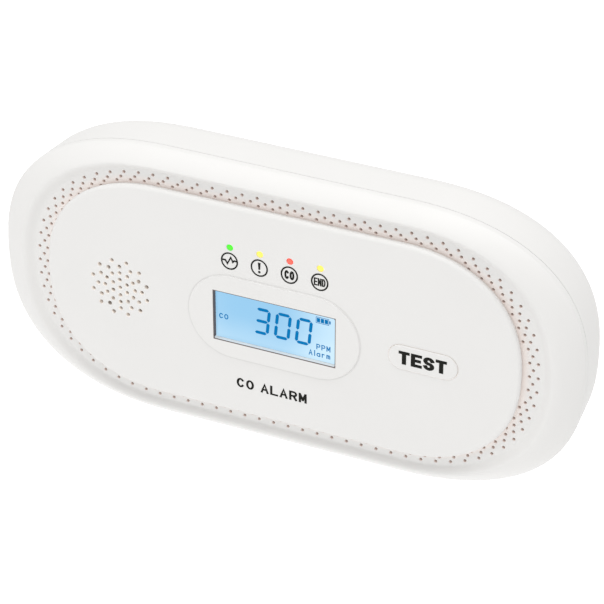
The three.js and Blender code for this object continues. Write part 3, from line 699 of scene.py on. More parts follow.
def circuit_board(name):
    """Green solder mask over a lattice of tracks, slightly uneven."""
    finish = Finish(name, roughness=0.35)
    inputs = {
        "Vector": finish.place(), "Color1": (0.02, 0.16, 0.07), "Color2": (0.025, 0.20, 0.09),
        "Mortar": (0.05, 0.30, 0.14), "Scale": 220.0, "Mortar Size": 0.045,
        "Brick Width": 0.9, "Row Height": 0.22,
    }
    finish.set("Base Color", finish.node("ShaderNodeTexBrick", None, inputs))
    finish.bump(finish.noise(0.5 * MM, 2), 6e-6)
    return finish


def cell_sleeve(name, positive):
    """A printed sleeve: a copper band by the positive end, a dark body and a pale thin stripe."""
    finish = Finish(name, roughness=0.3, coat_weight=0.4)
    along = finish.place("X") * positive
    copper = finish.ramp(along, 9.9 * MM, 10.1 * MM)
    stripe = finish.ramp(along, 9.0 * MM, 9.1 * MM) * (1 - copper)
    body = finish.mix(finish.noise(4 * MM), (0.012, 0.014, 0.02), (0.02, 0.024, 0.034))
    striped = finish.mix(stripe, body, (0.7, 0.7, 0.68))
    finish.set("Base Color", finish.mix(copper, striped, (0.55, 0.26, 0.10)))
    finish.set("Metallic", copper * 0.8)
    return finish


# ---- Fine pieces -----------------------------------------------------------------------------
GRILLE_REACH = 8.5 * MM  # radius of the part of the panel that holds the grille
SEAM_DEPTH = 5.3 * MM  # from the rim's crest back to where the rear housing's side starts to draft
VENT_ROWS = (0, 1.2, 2.08, 3)  # how far in each row lies from the outermost one, in row steps
FOURTH_ROW = (2, 9)  # the short row runs between these places, counted from each end's tip


def case_outline(case, grow=0.0):
    half_length = (FRONT_HIGH.x - FRONT_LOW.x) / 2
    half_height = (FRONT_HIGH.z - FRONT_LOW.z) / 2
    return outline(case.straight, half_length, half_height, case.power, grow)


def vent_outline(vents, grow=0.0, steps=QUARTER_STEPS):
    return outline(vents.straight, vents.half_length, vents.half_height, vents.power, grow, steps)


def panel_outline(panel, grow=0.0):
    half_length = (PANEL_HIGH.x - PANEL_LOW.x) / 2
    half_height = (PANEL_HIGH.z - PANEL_LOW.z) / 2
    return outline(panel.straight, half_length, half_height, panel.power, grow)


def key_outline(panel, grow=0.0, steps=16):
    straight = panel.key_half_length - panel.key_half_height
    return outline(straight, panel.key_half_length, panel.key_half_height, 2, grow, steps)


def place_of(node):
    """The middle of a node seen from the front, in (x, z)."""
    low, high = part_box(node)
    return (low.x + high.x) / 2, (low.z + high.z) / 2


def middle(node):
    low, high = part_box(node)
    return (low + high) / 2


def face_depth(depth):
    """The y of a depth measured back from the panel's face."""
    return PANEL_FACE + depth


def rim_rings(case, vents):
    """The rim: depth = floor - (floor - crest) * (1 - cos(pi * t)) / 2 for t from the vent ring
    to the crest, then depth = crest + (edge - crest) * (1 - (1 - t^n)^(1/n)) out to the side. The
    outline goes from the vent ring's edge to the case's as a weighted mean of the two. The rings
    lie closer together towards the side, where the rim rolls over."""
    crest = FRONT_LOW.y - PANEL_FACE
    inside = vent_outline(vents, vents.margin)
    outside = case_outline(case)
    rising = np.linspace(0, 1, 12, endpoint=False)
    rolling = np.sin(np.linspace(0, QUARTER_TURN, 17))
    rise = case.floor_depth - (case.floor_depth - crest) * (1 - np.cos(np.pi * rising)) / 2
    rolled = 1 - np.maximum(0, 1 - rolling**case.roll) ** (1 / case.roll)
    roll = crest + (case.edge_depth - crest) * rolled
    shares = np.concatenate(
        (case.crest_share * rising, case.crest_share + (1 - case.crest_share) * rolling)
    )
    depths = np.concatenate((rise, roll))
    return [
        at_y(inside + share * (outside - inside), face_depth(depth))
        for share, depth in zip(shares, depths)
    ]


def spaced(points, places):
    """Points at given shares of a closed outline's length, measured from its right-hand tip."""
    tip = (len(points) // 2 - 1) // 2
    loop = np.concatenate((points[tip:], points[: tip + 1]))
    along = np.concatenate(([0], np.cumsum(np.linalg.norm(np.diff(loop, axis=0), axis=1))))
    wanted = np.asarray(places) * along[-1]
    return np.column_stack([np.interp(wanted, along, loop[:, k]) for k in (0, 1)])


def vent_places(vents):
    """Three rows of holes and a fourth at the round ends. The second row and the fourth are half a
    pitch on from the others."""
    whole = np.arange(vents.count)
    quarter = vents.count / 4
    extra = whole + 0.5
    from_tip = np.abs((extra + quarter) % (2 * quarter) - quarter)
    extra = extra[(from_tip > FOURTH_ROW[0]) & (from_tip < FOURTH_ROW[1])]
    rows = (whole, whole + 0.5, whole, extra)
    lines = [vent_outline(vents, -i * vents.row_step, 90) for i in VENT_ROWS]
    return np.concatenate([spaced(line, row / vents.count) for line, row in zip(lines, rows)])


def holes(places, radius, front, back, chamfer, sides=14):
    """Round plugs with a cone at the mouth: p = centre + radius(y) * (cos(a), sin(a))."""
    depths = (front - chamfer, front + chamfer, back)
    radii = (radius + 2 * chamfer, radius, radius)
    ring = circle(1, sides)
    shape = Shape()
    grid = np.stack([at_y(ring * r, y) for y, r in zip(depths, radii)])
    for x, z in places:
        shape.rings(grid + np.array((x, 0, z)))
    return shape


def peg(x, z, radius, front, back, sides=32):
    return Shape().plate(circle(radius, sides), front, back, (x, z))


def pegs(nodes, radius, front, back):
    """A round peg at the middle of each node."""
    return [peg(middle(node).x, middle(node).z, radius, front, back) for node in nodes]


def block(low_x, high_x, front, back, low_z, high_z):
    return Shape().box((low_x, front, low_z), (high_x, back, high_z))


class DETECTOR_OT_front_housing(bpy.types.Operator):
    """Front housing: rolled rim, perforated ring, tongue and screw posts"""

    bl_idname = "detector.front_housing"
    bl_label = "Front housing"

    def execute(self, context):
        scene = context.scene
        case, vents, panel = scene.detector_case, scene.detector_vents, scene.detector_panel
        seam = REAR_LOW.y - case.seam_gap
        edge = case.seam_round
        inner = case.tongue_inset + case.tongue_wall
        rings = rim_rings(case, vents)
        for inset, y in (
            (0, seam - edge),
            (edge * 0.3, seam - edge * 0.3),
            (edge, seam),
            (case.tongue_inset, seam),
            (case.tongue_inset, face_depth(case.tongue_depth)),
            (inner, face_depth(case.tongue_depth)),
            (inner, face_depth(case.floor_back)),
        ):
            rings.append(at_y(case_outline(case, -inset), y))
        inside = face_depth(case.floor_back) - 0.5 * MM
        boss_end, post_end = face_depth(12 * MM), face_depth(6 * MM)
        posts = pegs(BOARD_SCREWS, 2.6 * MM, inside, post_end)
        pilots = pegs(BOARD_SCREWS, 1.3 * MM, face_depth(4.3 * MM), post_end + MM)
        steps = added(*pegs(CASE_SCREWS, 3.2 * MM, inside, boss_end))
        for post, pilot in zip(posts, pilots):
            steps += added(post) + cut_away(pilot)
        steps += cut_away(*pegs(CASE_SCREWS, SCREW_HOLE, face_depth(5.6 * MM), boss_end + MM))
        front, back = face_depth(MM), face_depth(5 * MM)
        room = 0.8 * MM
        low, high = GLASS_LOW, GLASS_HIGH
        display = block(low.x - room, high.x + room, front, back, low.z - room, high.z + room)
        key = Shape().plate(key_outline(panel, 1.8 * MM), front, back, place_of("test_button"))
        grille = peg(panel.grille_x, panel.grille_z, GRILLE_REACH + 0.1 * MM, front, back, 48)
        floor = face_depth(case.floor_depth)
        mouths = holes(vent_places(vents), vents.radius, floor, back, vents.chamfer)
        pipes = pegs(PIPE_NODES, 1.3 * MM, front, back)
        steps += cut_away(display, key, grille, *pipes, mouths)
        mesh = combined("front_housing_fine", Shape().rings(rings), steps)
        shell, ring = scene.detector_finish.shell, scene.detector_finish.ring
        # the vent ring gets painted shade and a painted glow by the panel's edge and in its holes
        skin = ring_shaded_shell("front_shell_finish", shell, ring, panel, floor)
        piece("front_housing_fine", mesh, skin, "case", "front_shell", "front_housing")
        return {"FINISHED"}


def grille_places(panel):
    """Rings of holes about the grille's centre: radius, number of holes and the first angle."""
    rings = ((0, 1, 0), (2.12, 6, 30), (4, 12, 0), (5.8, 12, 0), (7.4, 12, 15))
    centre = np.array((panel.grille_x, panel.grille_z))
    places = []
    for radius, count, start in rings:
        turn = np.radians(start) + np.arange(count) * 2 * np.pi / count
        places.append(centre + radius * MM * np.column_stack((np.cos(turn), np.sin(turn))))
    return np.concatenate(places)


def bezel_outline(panel, grow=0.0):
    half = panel.bezel_straight + panel.bezel_radius
    return outline(panel.bezel_straight, half, panel.bezel_radius, 2, grow, 32)


class DETECTOR_OT_front_panel(bpy.types.Operator):
    """Front panel: rounded plate, raised pad with the display window, key, lamp and grille holes"""

    bl_idname = "detector.front_panel"
    bl_label = "Front panel"

    def execute(self, context):
        panel = context.scene.detector_panel
        back = PANEL_HIGH.y
        rings = [
            at_y(
                panel_outline(panel, -panel.rounding * (1 - math.sin(a))),
                face_depth(panel.rounding * (1 - math.cos(a))),
            )
            for a in np.linspace(0, QUARTER_TURN, 9)
        ]
        rings.append(at_y(panel_outline(panel, -panel.undercut), back))
        pad_at = (panel.bezel_x, panel.bezel_z)
        pad = [
            at_y(
                bezel_outline(panel, -panel.bezel_raise * (1 - s)),
                face_depth(-panel.bezel_raise * (1 + math.cos(math.pi * s)) / 2),
                pad_at,
            )
            for s in np.linspace(0, 1, 7)
        ]
        pad.append(at_y(bezel_outline(panel), face_depth(0.5 * MM), pad_at))
        through = back + MM
        window_at = place_of("display_gasket")
        window = cutter(
            lambda grow: rectangle(panel.window_width, panel.window_height, 0.4 * MM, grow),
            face_depth(-panel.bezel_raise), through, window_at, 0.06 * MM,
        )
        pocket = rectangle(GLASS_HIGH.x - GLASS_LOW.x + MM, GLASS_HIGH.z - GLASS_LOW.z + MM)
        key = cutter(
            lambda grow: key_outline(panel, panel.key_gap + grow),
            PANEL_FACE, through, place_of("test_button"), 0.2 * MM,
        )
        grille = grille_places(panel)
        lamps = np.array([(middle(node).x, middle(node).z) for node in PIPE_NODES])
        steps = added(Shape().rings(pad)) + cut_away(
            window,
            Shape().plate(pocket, face_depth(0.8 * MM), through, window_at),
            key,
            holes(grille, panel.grille_hole, PANEL_FACE, through, 0.1 * MM, 20),
            holes(lamps, 0.86 * MM, PANEL_FACE, through, 0.04 * MM, 28),
        )
        mesh = combined("front_panel_fine", Shape().rings(rings), steps)
        skin = panel_skin("panel_shell_finish", context.scene.detector_finish.shell, panel)
        piece("front_panel_fine", mesh, skin, "case", "panel_shell", "front_panel")
        return {"FINISHED"}


INK_STEP = 0.004 * MM  # how far one stroke stands in front of the stroke before
NARROW = 0.45  # width of a space or an l, in widths of a letter


def arc(centre_x, centre_z, radius_x, radius_z, start, end, steps=12):
    """x = cx + rx * cos(a), z = cz + rz * sin(a), with a in degrees from start to end."""
    turn = np.radians(np.linspace(start, end, steps + 1))
    x = centre_x + radius_x * np.cos(turn)
    return np.column_stack((x, centre_z + radius_z * np.sin(turn)))


def line(*points):
    return np.array(points, float)


def bowl(top, bottom):
    """The round part of a letter, open to the left, between two heights."""
    mid, half = (top + bottom) / 2, (top - bottom) / 2
    return np.concatenate((line((0, top), (0.6, top)), arc(0.6, mid, 0.4, half, 90, -90)[1:-1],
                           line((0.6, bottom), (0, bottom))))


# A stroke alphabet: each letter is a list of strokes in a cell 1 wide and 1 high.
LETTERS = {
    "A": [line((0, 0), (0.5, 1), (1, 0)), line((0.2, 0.33), (0.8, 0.33))],
    "C": [arc(0.5, 0.5, 0.5, 0.5, 42, 318)],
    "D": [line((0, 0), (0, 1)), np.concatenate((line((0, 1), (0.45, 1)),
          arc(0.45, 0.5, 0.55, 0.5, 90, -90)[1:-1], line((0.45, 0), (0, 0))))],
    "E": [line((1, 1), (0, 1), (0, 0), (1, 0)), line((0, 0.5), (0.85, 0.5))],
    "L": [line((0, 1), (0, 0), (1, 0))],
    "M": [line((0, 0), (0, 1)), line((1, 0), (1, 1)), line((0.12, 0.85), (0.5, 0.25)),
          line((0.88, 0.85), (0.5, 0.25))],
    "N": [line((0, 0), (0, 1)), line((1, 0), (1, 1)), line((0.12, 0.88), (0.88, 0.12))],
    "O": [arc(0.5, 0.5, 0.5, 0.5, 0, 360, 32)],
    "P": [line((0, 0), (0, 1)), bowl(1, 0.45)],
    "R": [line((0, 0), (0, 1)), bowl(1, 0.48), line((0.55, 0.48), (1, 0))],
    "S": [np.concatenate((arc(0.5, 0.75, 0.5, 0.25, 20, 90), arc(0.5, 0.75, 0.5, 0.25, 90, 270)[1:],
          arc(0.5, 0.25, 0.5, 0.25, 90, -90)[1:], arc(0.5, 0.25, 0.5, 0.25, -90, -160)[1:]))],
    "T": [line((0, 1), (1, 1)), line((0.5, 1), (0.5, 0))],
    "a": [line((1, 0), (1, 0.6)), arc(0.5, 0.3, 0.5, 0.3, 0, 340)],
    "l": [line((0.2, 0), (0.2, 1))],
    "m": [line((0, 0), (0, 0.62)), np.concatenate((arc(0.25, 0.4, 0.25, 0.22, 180, 0),
          line((0.5, 0)))), np.concatenate((arc(0.75, 0.4, 0.25, 0.22, 180, 0), line((1, 0))))],
    "r": [line((0.1, 0), (0.1, 0.62)), arc(0.55, 0.3, 0.45, 0.3, 170, 60)],
}


def lettering(shape, text, start, size, gap, stroke, front, back, wider=1.0):
    """Writes text in ribbons from its lower left corner. Each letter has a width and a height over
    its outer edges, and stands a gap from the next. Size, gap and stroke are in millimetres. Each
    stroke of a letter lies a little in front of the last, so that crossing faces don't flicker."""
    width, height, gap, stroke = (number * MM for number in (*size, gap, stroke))
    inner = np.array((width - stroke * wider, height - stroke))
    left, foot = start
    for letter in text:
        for number, strip in enumerate(LETTERS.get(letter, [])):
            points = strip * inner + (left + stroke * wider / 2, foot + stroke / 2)
            closed = letter == "O"
            path = points[:-1] if closed else points
            lift = front - number * INK_STEP
            shape.ribbon(path, stroke, lift, back, closed, wider, 0 if closed else stroke / 2)
        left += width * (NARROW if letter in " l" else 1.0) + gap


class DETECTOR_OT_legends(bpy.types.Operator):
    """Printed legends: lamp icons and a plain generic name"""

    bl_idname = "detector.legends"
    bl_label = "Printed legends"

    def execute(self, context):
        ink = printed_ink("legend_ink", context.scene.detector_finish.ink)
        front, back = PANEL_FACE - 0.035 * MM, PANEL_FACE + 0.1 * MM
        shape = Shape()
        row_z = middle(PIPE_NODES[0]).z - 3.62 * MM
        centres = [np.array((middle(node).x - 0.1 * MM, row_z)) for node in PIPE_NODES]
        oval = circle(2.0 * MM, 56) * (1, 1.06)
        for centre in centres:
            shape.ribbon(oval + centre, 0.38 * MM, front, back, closed=True)
        pulse = line(
            (-2.0, 0.1), (-1.05, 0.1), (-0.55, -0.75), (0.35, 1.05), (0.85, -0.1), (1.2, 0.3),
            (2.0, 0.3),
        )
        shape.ribbon(pulse * MM + centres[0], 0.42 * MM, front - INK_STEP, back)
        tapered = np.array(((-0.2, -0.45), (0.2, -0.45), (0.34, 1.4), (-0.34, 1.4))) * MM
        shape.plate(tapered, front, back, centres[1])
        shape.plate(circle(0.33 * MM, 16), front, back, centres[1] + (0, -1.1 * MM))
        for centre, text, width, height, gap, stroke in (
            (centres[2], "CO", 1.18, 2.35, 0.14, 0.48),
            (centres[3], "END", 0.92, 2.05, 0.08, 0.34),
        ):
            whole = (len(text) * width + (len(text) - 1) * gap) * MM
            start = (centre[0] - whole / 2, centre[1] - height * MM / 2)
            lettering(shape, text, start, (width, height), gap, stroke, front, back)
        name_at = (-10.4 * MM, -20.9 * MM)
        lettering(shape, "CO ALARM", name_at, (2.05, 2.6), 0.42, 0.46, front, back, 1.25)
        piece("printed_legends", shape, ink, "case", "panel_shell")
        return {"FINISHED"}


class DETECTOR_OT_test_key(bpy.types.Operator):
    """Test key: rounded cap, flange and stem, with its printed word"""

    bl_idname = "detector.test_key"
    bl_label = "Test key"

    def execute(self, context):
        panel, finish = context.scene.detector_panel, context.scene.detector_finish
        at = place_of("test_button")
        top = KEY_LOW.y
        rings = [
            at_y(
                key_outline(panel, -panel.key_round * (1 - math.sin(a))),
                top + panel.key_round * (1 - math.cos(a)) * 0.8, at,
            )
            for a in np.linspace(0, QUARTER_TURN, 8)
        ]
        flange_front, flange_back = face_depth(2.3 * MM), face_depth(3.1 * MM)
        flange = key_outline(panel, 1.4 * MM)
        rings += [
            at_y(key_outline(panel), flange_front, at),
            at_y(flange, flange_front, at),
            at_y(flange, flange_back, at),
        ]
        stem = peg(*at, 1.5 * MM, flange_back - 0.3 * MM, KEY_HIGH.y)
        mesh = combined("test_key_fine", Shape().rings(rings), added(stem))
        skin = moulded_shell("key_finish", finish.shell)
        piece("test_key_fine", mesh, skin, "test_key", "key", "test_button")
        shape = Shape()
        size, gap = (2.72, 3.5), 0.32
        start = (
            at[0] - (4 * size[0] + 3 * gap) * MM / 2,
            at[1] - size[1] * MM / 2 + 0.05 * MM,
        )
        front, back = top - 0.035 * MM, top + 0.08 * MM
        lettering(shape, "TEST", start, size, gap, 0.78, front, back, 1.35)
        ink = printed_ink("key_ink", finish.ink)
        piece("test_key_word", shape, ink, "test_key", "key")
        return {"FINISHED"}


def seven_segments(shape, digits, left, foot, width, height, pitch, stroke, slant, front, back):
    """Slanted seven-segment digits: each segment is pointed at both ends, and stops a little
    short of the corners it runs between."""
    half = (height - stroke) / 2
    wide = width - stroke
    short = 0.03 * width
    strips = {
        "a": ((short, 2 * half), (wide - short, 2 * half)),
        "b": ((wide, half + short), (wide, 2 * half - short)),
        "c": ((wide, short), (wide, half - short)),
        "d": ((short, 0), (wide - short, 0)),
        "e": ((0, short), (0, half - short)),
        "f": ((0, half + short), (0, 2 * half - short)),
        "g": ((short, half), (wide - short, half)),
    }
    lit = {"0": "abcdef", "3": "abcdg"}
    for number, digit in enumerate(digits):
        for segment in lit[digit]:
            points = np.array(strips[segment]) + (left + number * pitch, foot + stroke / 2)
            points[:, 0] += stroke / 2 + slant * (points[:, 1] - foot)
            shape.segment(*points, stroke, front, back)


class DETECTOR_OT_display(bpy.types.Operator):
    """Display: lit face with its segments, gasket, diffuser and elastomer strip"""

    bl_idname = "detector.display"
    bl_label = "Display"

    def execute(self, context):
        panel, finish = context.scene.detector_panel, context.scene.detector_finish
        lit = backlit_display("lcd_lit_face", finish.glow_low, finish.glow_high)
        centre = place_of("display_gasket")
        glass_at = place_of("lcd_glass")
        step = GLASS_LOW.y - 0.4 * MM  # the lit face stands in front of the CAD one by this much
        plate = rectangle(panel.window_width - 0.1 * MM, panel.window_height - 0.1 * MM)
        glass = rectangle(GLASS_HIGH.x - GLASS_LOW.x, GLASS_HIGH.z - GLASS_LOW.z)
        slab = Shape().rings([
            at_y(plate, step, centre),
            at_y(plate, GLASS_LOW.y, centre),
            at_y(glass, GLASS_LOW.y, glass_at),
            at_y(glass, GLASS_HIGH.y, glass_at),
        ])
        piece("lcd_fine", slab, lit, "case", "lcd", "lcd_glass")
        dress("display_gasket", plain_plastic("gasket_foam", (0.66, 0.64, 0.62), 0.8, 20))
        dress("lcd_backlight", plain_plastic("diffuser_plastic", (0.74, 0.84, 0.92), 0.5))
        dress("lcd_connector", plain_plastic("elastomer_rubber", (0.06, 0.06, 0.065), 0.8))
        front, back = step - 0.03 * MM, step + 0.1 * MM
        shape = Shape()
        seven_segments(
            shape, "300", -6.4 * MM, -5.05 * MM, 4.05 * MM, 7.25 * MM, 5.35 * MM, 0.8 * MM, 0.1,
            front, back,
        )
        charge = rectangle(0.82 * MM, 1.15 * MM)
        battery_z = 2.7 * MM
        shape.ribbon(
            rectangle(3.2 * MM, 1.6 * MM) + (11.4 * MM, battery_z), 0.12 * MM, front, back, True
        )
        for x in (10.4, 11.4, 12.4):
            shape.plate(charge, front, back, (x * MM, battery_z))
        shape.plate(rectangle(0.35 * MM, 0.8 * MM), front, back, (13.3 * MM, battery_z))
        for text, left, foot, size, gap, stroke in (
            ("CO", -15.1, -3.25, (1.05, 1.45), 0.28, 0.25),
            ("PPM", 9.9, -5.4, (1.0, 1.5), 0.28, 0.23),
            ("Alarm", 7.95, -7.4, (0.96, 1.6), 0.3, 0.23),
        ):
            lettering(shape, text, (left * MM, foot * MM), size, gap, stroke, front, back)
        ink = Finish("lcd_segment_ink", roughness=0.5, specular_ior_level=0.0)
        cloudy = ink.mix(ink.noise(2 * MM), shaded(finish.segment, 0.9), finish.segment)
        ink.set("Base Color", cloudy)
        ink.set("Emission Color", cloudy)
        ink.set("Emission Strength", 0.5)
        piece("lcd_segments", shape, ink, "case", "lcd")
        return {"FINISHED"}


class DETECTOR_OT_lamps(bpy.types.Operator):
    """Lamps: four tinted light pipes with low domed ends, and the chips behind them"""

    bl_idname = "detector.lamps"
    bl_label = "Lamps"

    def execute(self, context):
        finish = context.scene.detector_finish
        slots = ("lamp_green", "lamp_yellow", "lamp_red", "lamp_yellow")
        tints = (finish.green, finish.yellow, finish.red, finish.yellow)
        for node, slot_name, tint in zip(PIPE_NODES, slots, tints):
            low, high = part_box(node)
            centre = (low + high) / 2
            collar = (high.x - low.x) / 2
            radius = 0.8 * MM
            turn = np.linspace(0, QUARTER_TURN, 7)
            dome = np.column_stack((np.sin(turn) * radius, (1 - np.cos(turn)) * 0.3 * MM))
            dome[0, 0] = 0.02 * MM
            end = high.y - low.y
            seat = end - 0.8 * MM
            profile = np.concatenate((dome, ((radius, seat), (collar, seat), (collar, end))))
            shape = Shape().turned(profile, (centre.x, low.y, centre.z), sides=40)
            glow = glowing(f"{node}_tint", tint, 0.45)
            piece(f"{node}_fine", shape, glow, "case", slot_name, node)
        chip = plain_plastic("led_package", (0.80, 0.76, 0.62), 0.4)
        for node in ("led_power", "led_fault", "led_alarm", "led_end_of_life"):
            dress(node, chip)
        return {"FINISHED"}


def rear_inset(case, depth):
    """inset = draft * (depth - seam) + r - sqrt(r^2 - p^2), where p is how far the depth lies
    past the start of the rounding."""
    seam = FRONT_LOW.y + SEAM_DEPTH - PANEL_FACE
    past = np.maximum(0, depth + PANEL_FACE + case.rear_round)
    rolled = case.rear_round - np.sqrt(np.maximum(0, case.rear_round**2 - past**2))
    return case.rear_draft * (depth - seam) + rolled


class DETECTOR_OT_rear_housing(bpy.types.Operator):
    """Rear housing: round-backed shell with the battery bay, door recess, screw wells and keyholes"""

    bl_idname = "detector.rear_housing"
    bl_label = "Rear housing"

    def execute(self, context):
        case = context.scene.detector_case
        wall_y = REAR_HIGH.y
        edge = REAR_LOW.y - PANEL_FACE
        start = -case.rear_round - PANEL_FACE
        turn = np.linspace(0, QUARTER_TURN, 26)
        outer = np.concatenate((
            (edge + case.seam_round, edge + 3 * MM, start - 4 * MM),
            start + case.rear_round * np.sin(turn),
        ))
        floor = -PANEL_FACE - case.back_wall
        inner = np.array([floor, floor - 1.6 * MM, floor - 3.6 * MM, start, edge])
        inside = [
            at_y(case_outline(case, -(rear_inset(case, d) + case.rear_wall)), face_depth(d))
            for d in inner
        ]
        lip = at_y(case_outline(case, -case.seam_round), face_depth(edge))
        lip_round = at_y(
            case_outline(case, -case.seam_round * 0.3), face_depth(edge + case.seam_round * 0.3)
        )
        outside = [at_y(case_outline(case, -rear_inset(case, d)), face_depth(d)) for d in outer]
        base = Shape().rings([*inside, lip, lip_round, *outside])

        def box(low_x, high_x, front, back, low_z, high_z):
            """A block between two corners in millimetres, with depths measured from the wall."""
            return block(
                low_x * MM, high_x * MM, wall_y + front * MM, wall_y + back * MM,
                low_z * MM, high_z * MM,
            )

        bay_outside = box(-29.6, 29.6, -17.4, -1, -24, 24)
        door_seat = box(-31.4, 31.4, -3.2, -1, -25.6, 26)
        screw_wells = pegs(CASE_SCREWS, 4.2 * MM, wall_y - 13.7 * MM, wall_y - MM)
        steps = added(bay_outside, door_seat, *screw_wells)
        gap = 0.4 * MM
        recess_low, recess_high = DOOR_LOW.z - gap, DOOR_HIGH.z + gap
        recess_half = DOOR_HIGH.x + gap
        groove_radius = 2.0 * MM
        groove = Shape().turned(
            [(groove_radius, -recess_half), (groove_radius, recess_half)], PIVOT, (1, 0, 0), 64
        )
        mouth = cutter(
            lambda grow: rectangle(2 * recess_half, recess_high - recess_low, 0.6 * MM, grow),
            -wall_y, 1.8 * MM, (0, (recess_low + recess_high) / 2), 0.2 * MM,
        )
        bay = box(-28.2, 28.2, -16.6, 1, -22.6, 22.6)
        latch_pocket = box(-5.2, 5.2, -4, -1.5, -24.2, -21.6)
        finger_notch = box(-6, 6, -1.1, 1, -27.4, -23.8)
        steps += cut_away(bay, turned_round(mouth), groove, latch_pocket, finger_notch)
        for x in HOOKS:
            low_room = box(x - 3.6, x + 3.6, -6.8, -1.5, 22, 24.6)
            high_room = box(x - 3.6, x + 3.6, -6.8, -2, 24.5, 27.2)
            steps += cut_away(low_room, high_room)
        for node in CASE_SCREWS:
            at = (middle(node).x, middle(node).z)
            bore = cutter(lambda grow: circle(3 * MM + grow, 40), 0, 8 * MM, at, 0.3 * MM)
            steps += cut_away(turned_round(bore))
        steps += cut_away(*pegs(CASE_SCREWS, SCREW_HOLE, wall_y - 14 * MM, wall_y - 7 * MM))
        through, soft = 4 * MM, 0.25 * MM
        for x in (-KEYHOLE_X, KEYHOLE_X):
            entry = cutter(
                lambda grow: circle(4.5 * MM + grow, 48), 0, through, (x, 6 * MM), soft
            )
            slot = cutter(
                lambda grow: outline(3.5 * MM, 5.8 * MM, 2.3 * MM, 2, grow, 12)[:, ::-1] * (1, -1),
                0, through, (x, 9.5 * MM), soft,
            )
            steps += cut_away(turned_round(entry), turned_round(slot))
        mesh = combined("rear_housing_fine", base, steps)
        shell = context.scene.detector_finish.shell
        skin = moulded_shell("rear_shell_finish", shell, 6.0, 0.46)
        piece("rear_housing_fine", mesh, skin, "case", "rear_shell", "rear_housing")
        return {"FINISHED"}


def turned_round(shape):
    """The same cutter entering from the wall side: y changes sign and the faces turn over."""
    shape.corners = [corners * (1, -1, 1) for corners in shape.corners]
    shape.faces = [face[::-1] for face in shape.faces]
    return shape


class DETECTOR_OT_battery_door(bpy.types.Operator):
    """Battery door: plate with a round hinge edge, two hooks, and a latch tongue with grips"""

    bl_idname = "detector.battery_door"
    bl_label = "Battery door"

    def execute(self, context):
        half, foot, thick, soft = DOOR_HIGH.x, DOOR_LOW.z, -PIVOT.y, 0.3 * MM

        def section(x, drawn_in):
            """The door's outline in (y, z): a round top about the hinge line and a soft foot."""
            turn = np.linspace(0, QUARTER_TURN, 15)
            radius = thick - drawn_in
            top = np.column_stack((np.cos(turn), np.sin(turn))) * radius + (PIVOT.y, PIVOT.z)
            foot_turn = np.linspace(-QUARTER_TURN, 0, 6)
            low_foot = np.column_stack((np.cos(foot_turn), np.sin(foot_turn))) * soft
            low_foot += (-soft - drawn_in, foot + soft + drawn_in)
            inner = np.array(((PIVOT.y, foot + drawn_in),))
            loop = np.concatenate((inner, low_foot, top))
            return np.column_stack((np.full(len(loop), x), loop))

        turn = np.linspace(0, QUARTER_TURN, 5)
        ends = [(half - soft * (1 - math.sin(a)), soft * (1 - math.cos(a))) for a in turn[::-1]]
        rings = [section(-x, drawn) for x, drawn in ends[::-1]]
        rings += [section(x, drawn) for x, drawn in ends]
        plate = Shape().rings([ring[::-1] for ring in rings])

        def part(low_x, high_x, inner, outer, low_z, high_z):
            """A block between two corners in millimetres, measured from the hinge line."""
            return block(
                low_x * MM, high_x * MM, PIVOT.y + inner * MM, PIVOT.y + outer * MM,
                PIVOT.z + low_z * MM, PIVOT.z + high_z * MM,
            )

        foot_z = (foot - PIVOT.z) / MM
        steps = []
        for x in HOOKS:
            hook = part(x - 3, x + 3, -1.9, -0.7, -2.5, 3.4)
            root = part(x - 3, x + 3, -1.9, 0.4, -2.5, 0)
            steps += added(hook, root)
        steps += added(part(-4.2, 4.2, -1.4, 0.4, foot_z, foot_z + 1.3))
        for x in (-5.0, 5.0):
            steps += cut_away(part(x - 0.4, x + 0.4, -1, 3, foot_z - 1, foot_z + 10))
        for low_z in foot_z + 1.6 + 1.5 * np.arange(4):
            steps += cut_away(part(-3.6, 3.6, 1.25, 3, low_z, low_z + 0.7))
        mesh = combined("battery_door_fine", plate, steps)
        shell = context.scene.detector_finish.shell
        skin = moulded_shell("door_shell_finish", shell, 6.0, 0.46)
        piece("battery_door_fine", mesh, skin, "door", "door_shell", "battery_door")
        return {"FINISHED"}


def helix(shape, centre, side, wide, narrow, rise, wire, turns=3.0, steps=90):
    """A conical coil: p(t) = centre + x(t) + r(t) * (cos, sin)(2 pi turns t), with the wire's
    circle carried along on the radial and axial directions."""
    t = np.linspace(0, 1, steps)
    angle = 2 * np.pi * turns * t
    radial = np.column_stack((np.zeros(steps), np.cos(angle), np.sin(angle)))
    axial = np.array((-side, 0.0, 0.0))
    radius = wide + (narrow - wide) * t
    spine = np.array(centre) + np.outer(rise * t, axial) + radius[:, None] * radial
    around = np.arange(10) * 2 * np.pi / 10
    if side > 0:
        around = -around
    wheel = np.cos(around)[None, :, None] * radial[:, None] + np.sin(around)[None, :, None] * axial
    shape.rings((spine[:, None] + wire * wheel)[::-1])


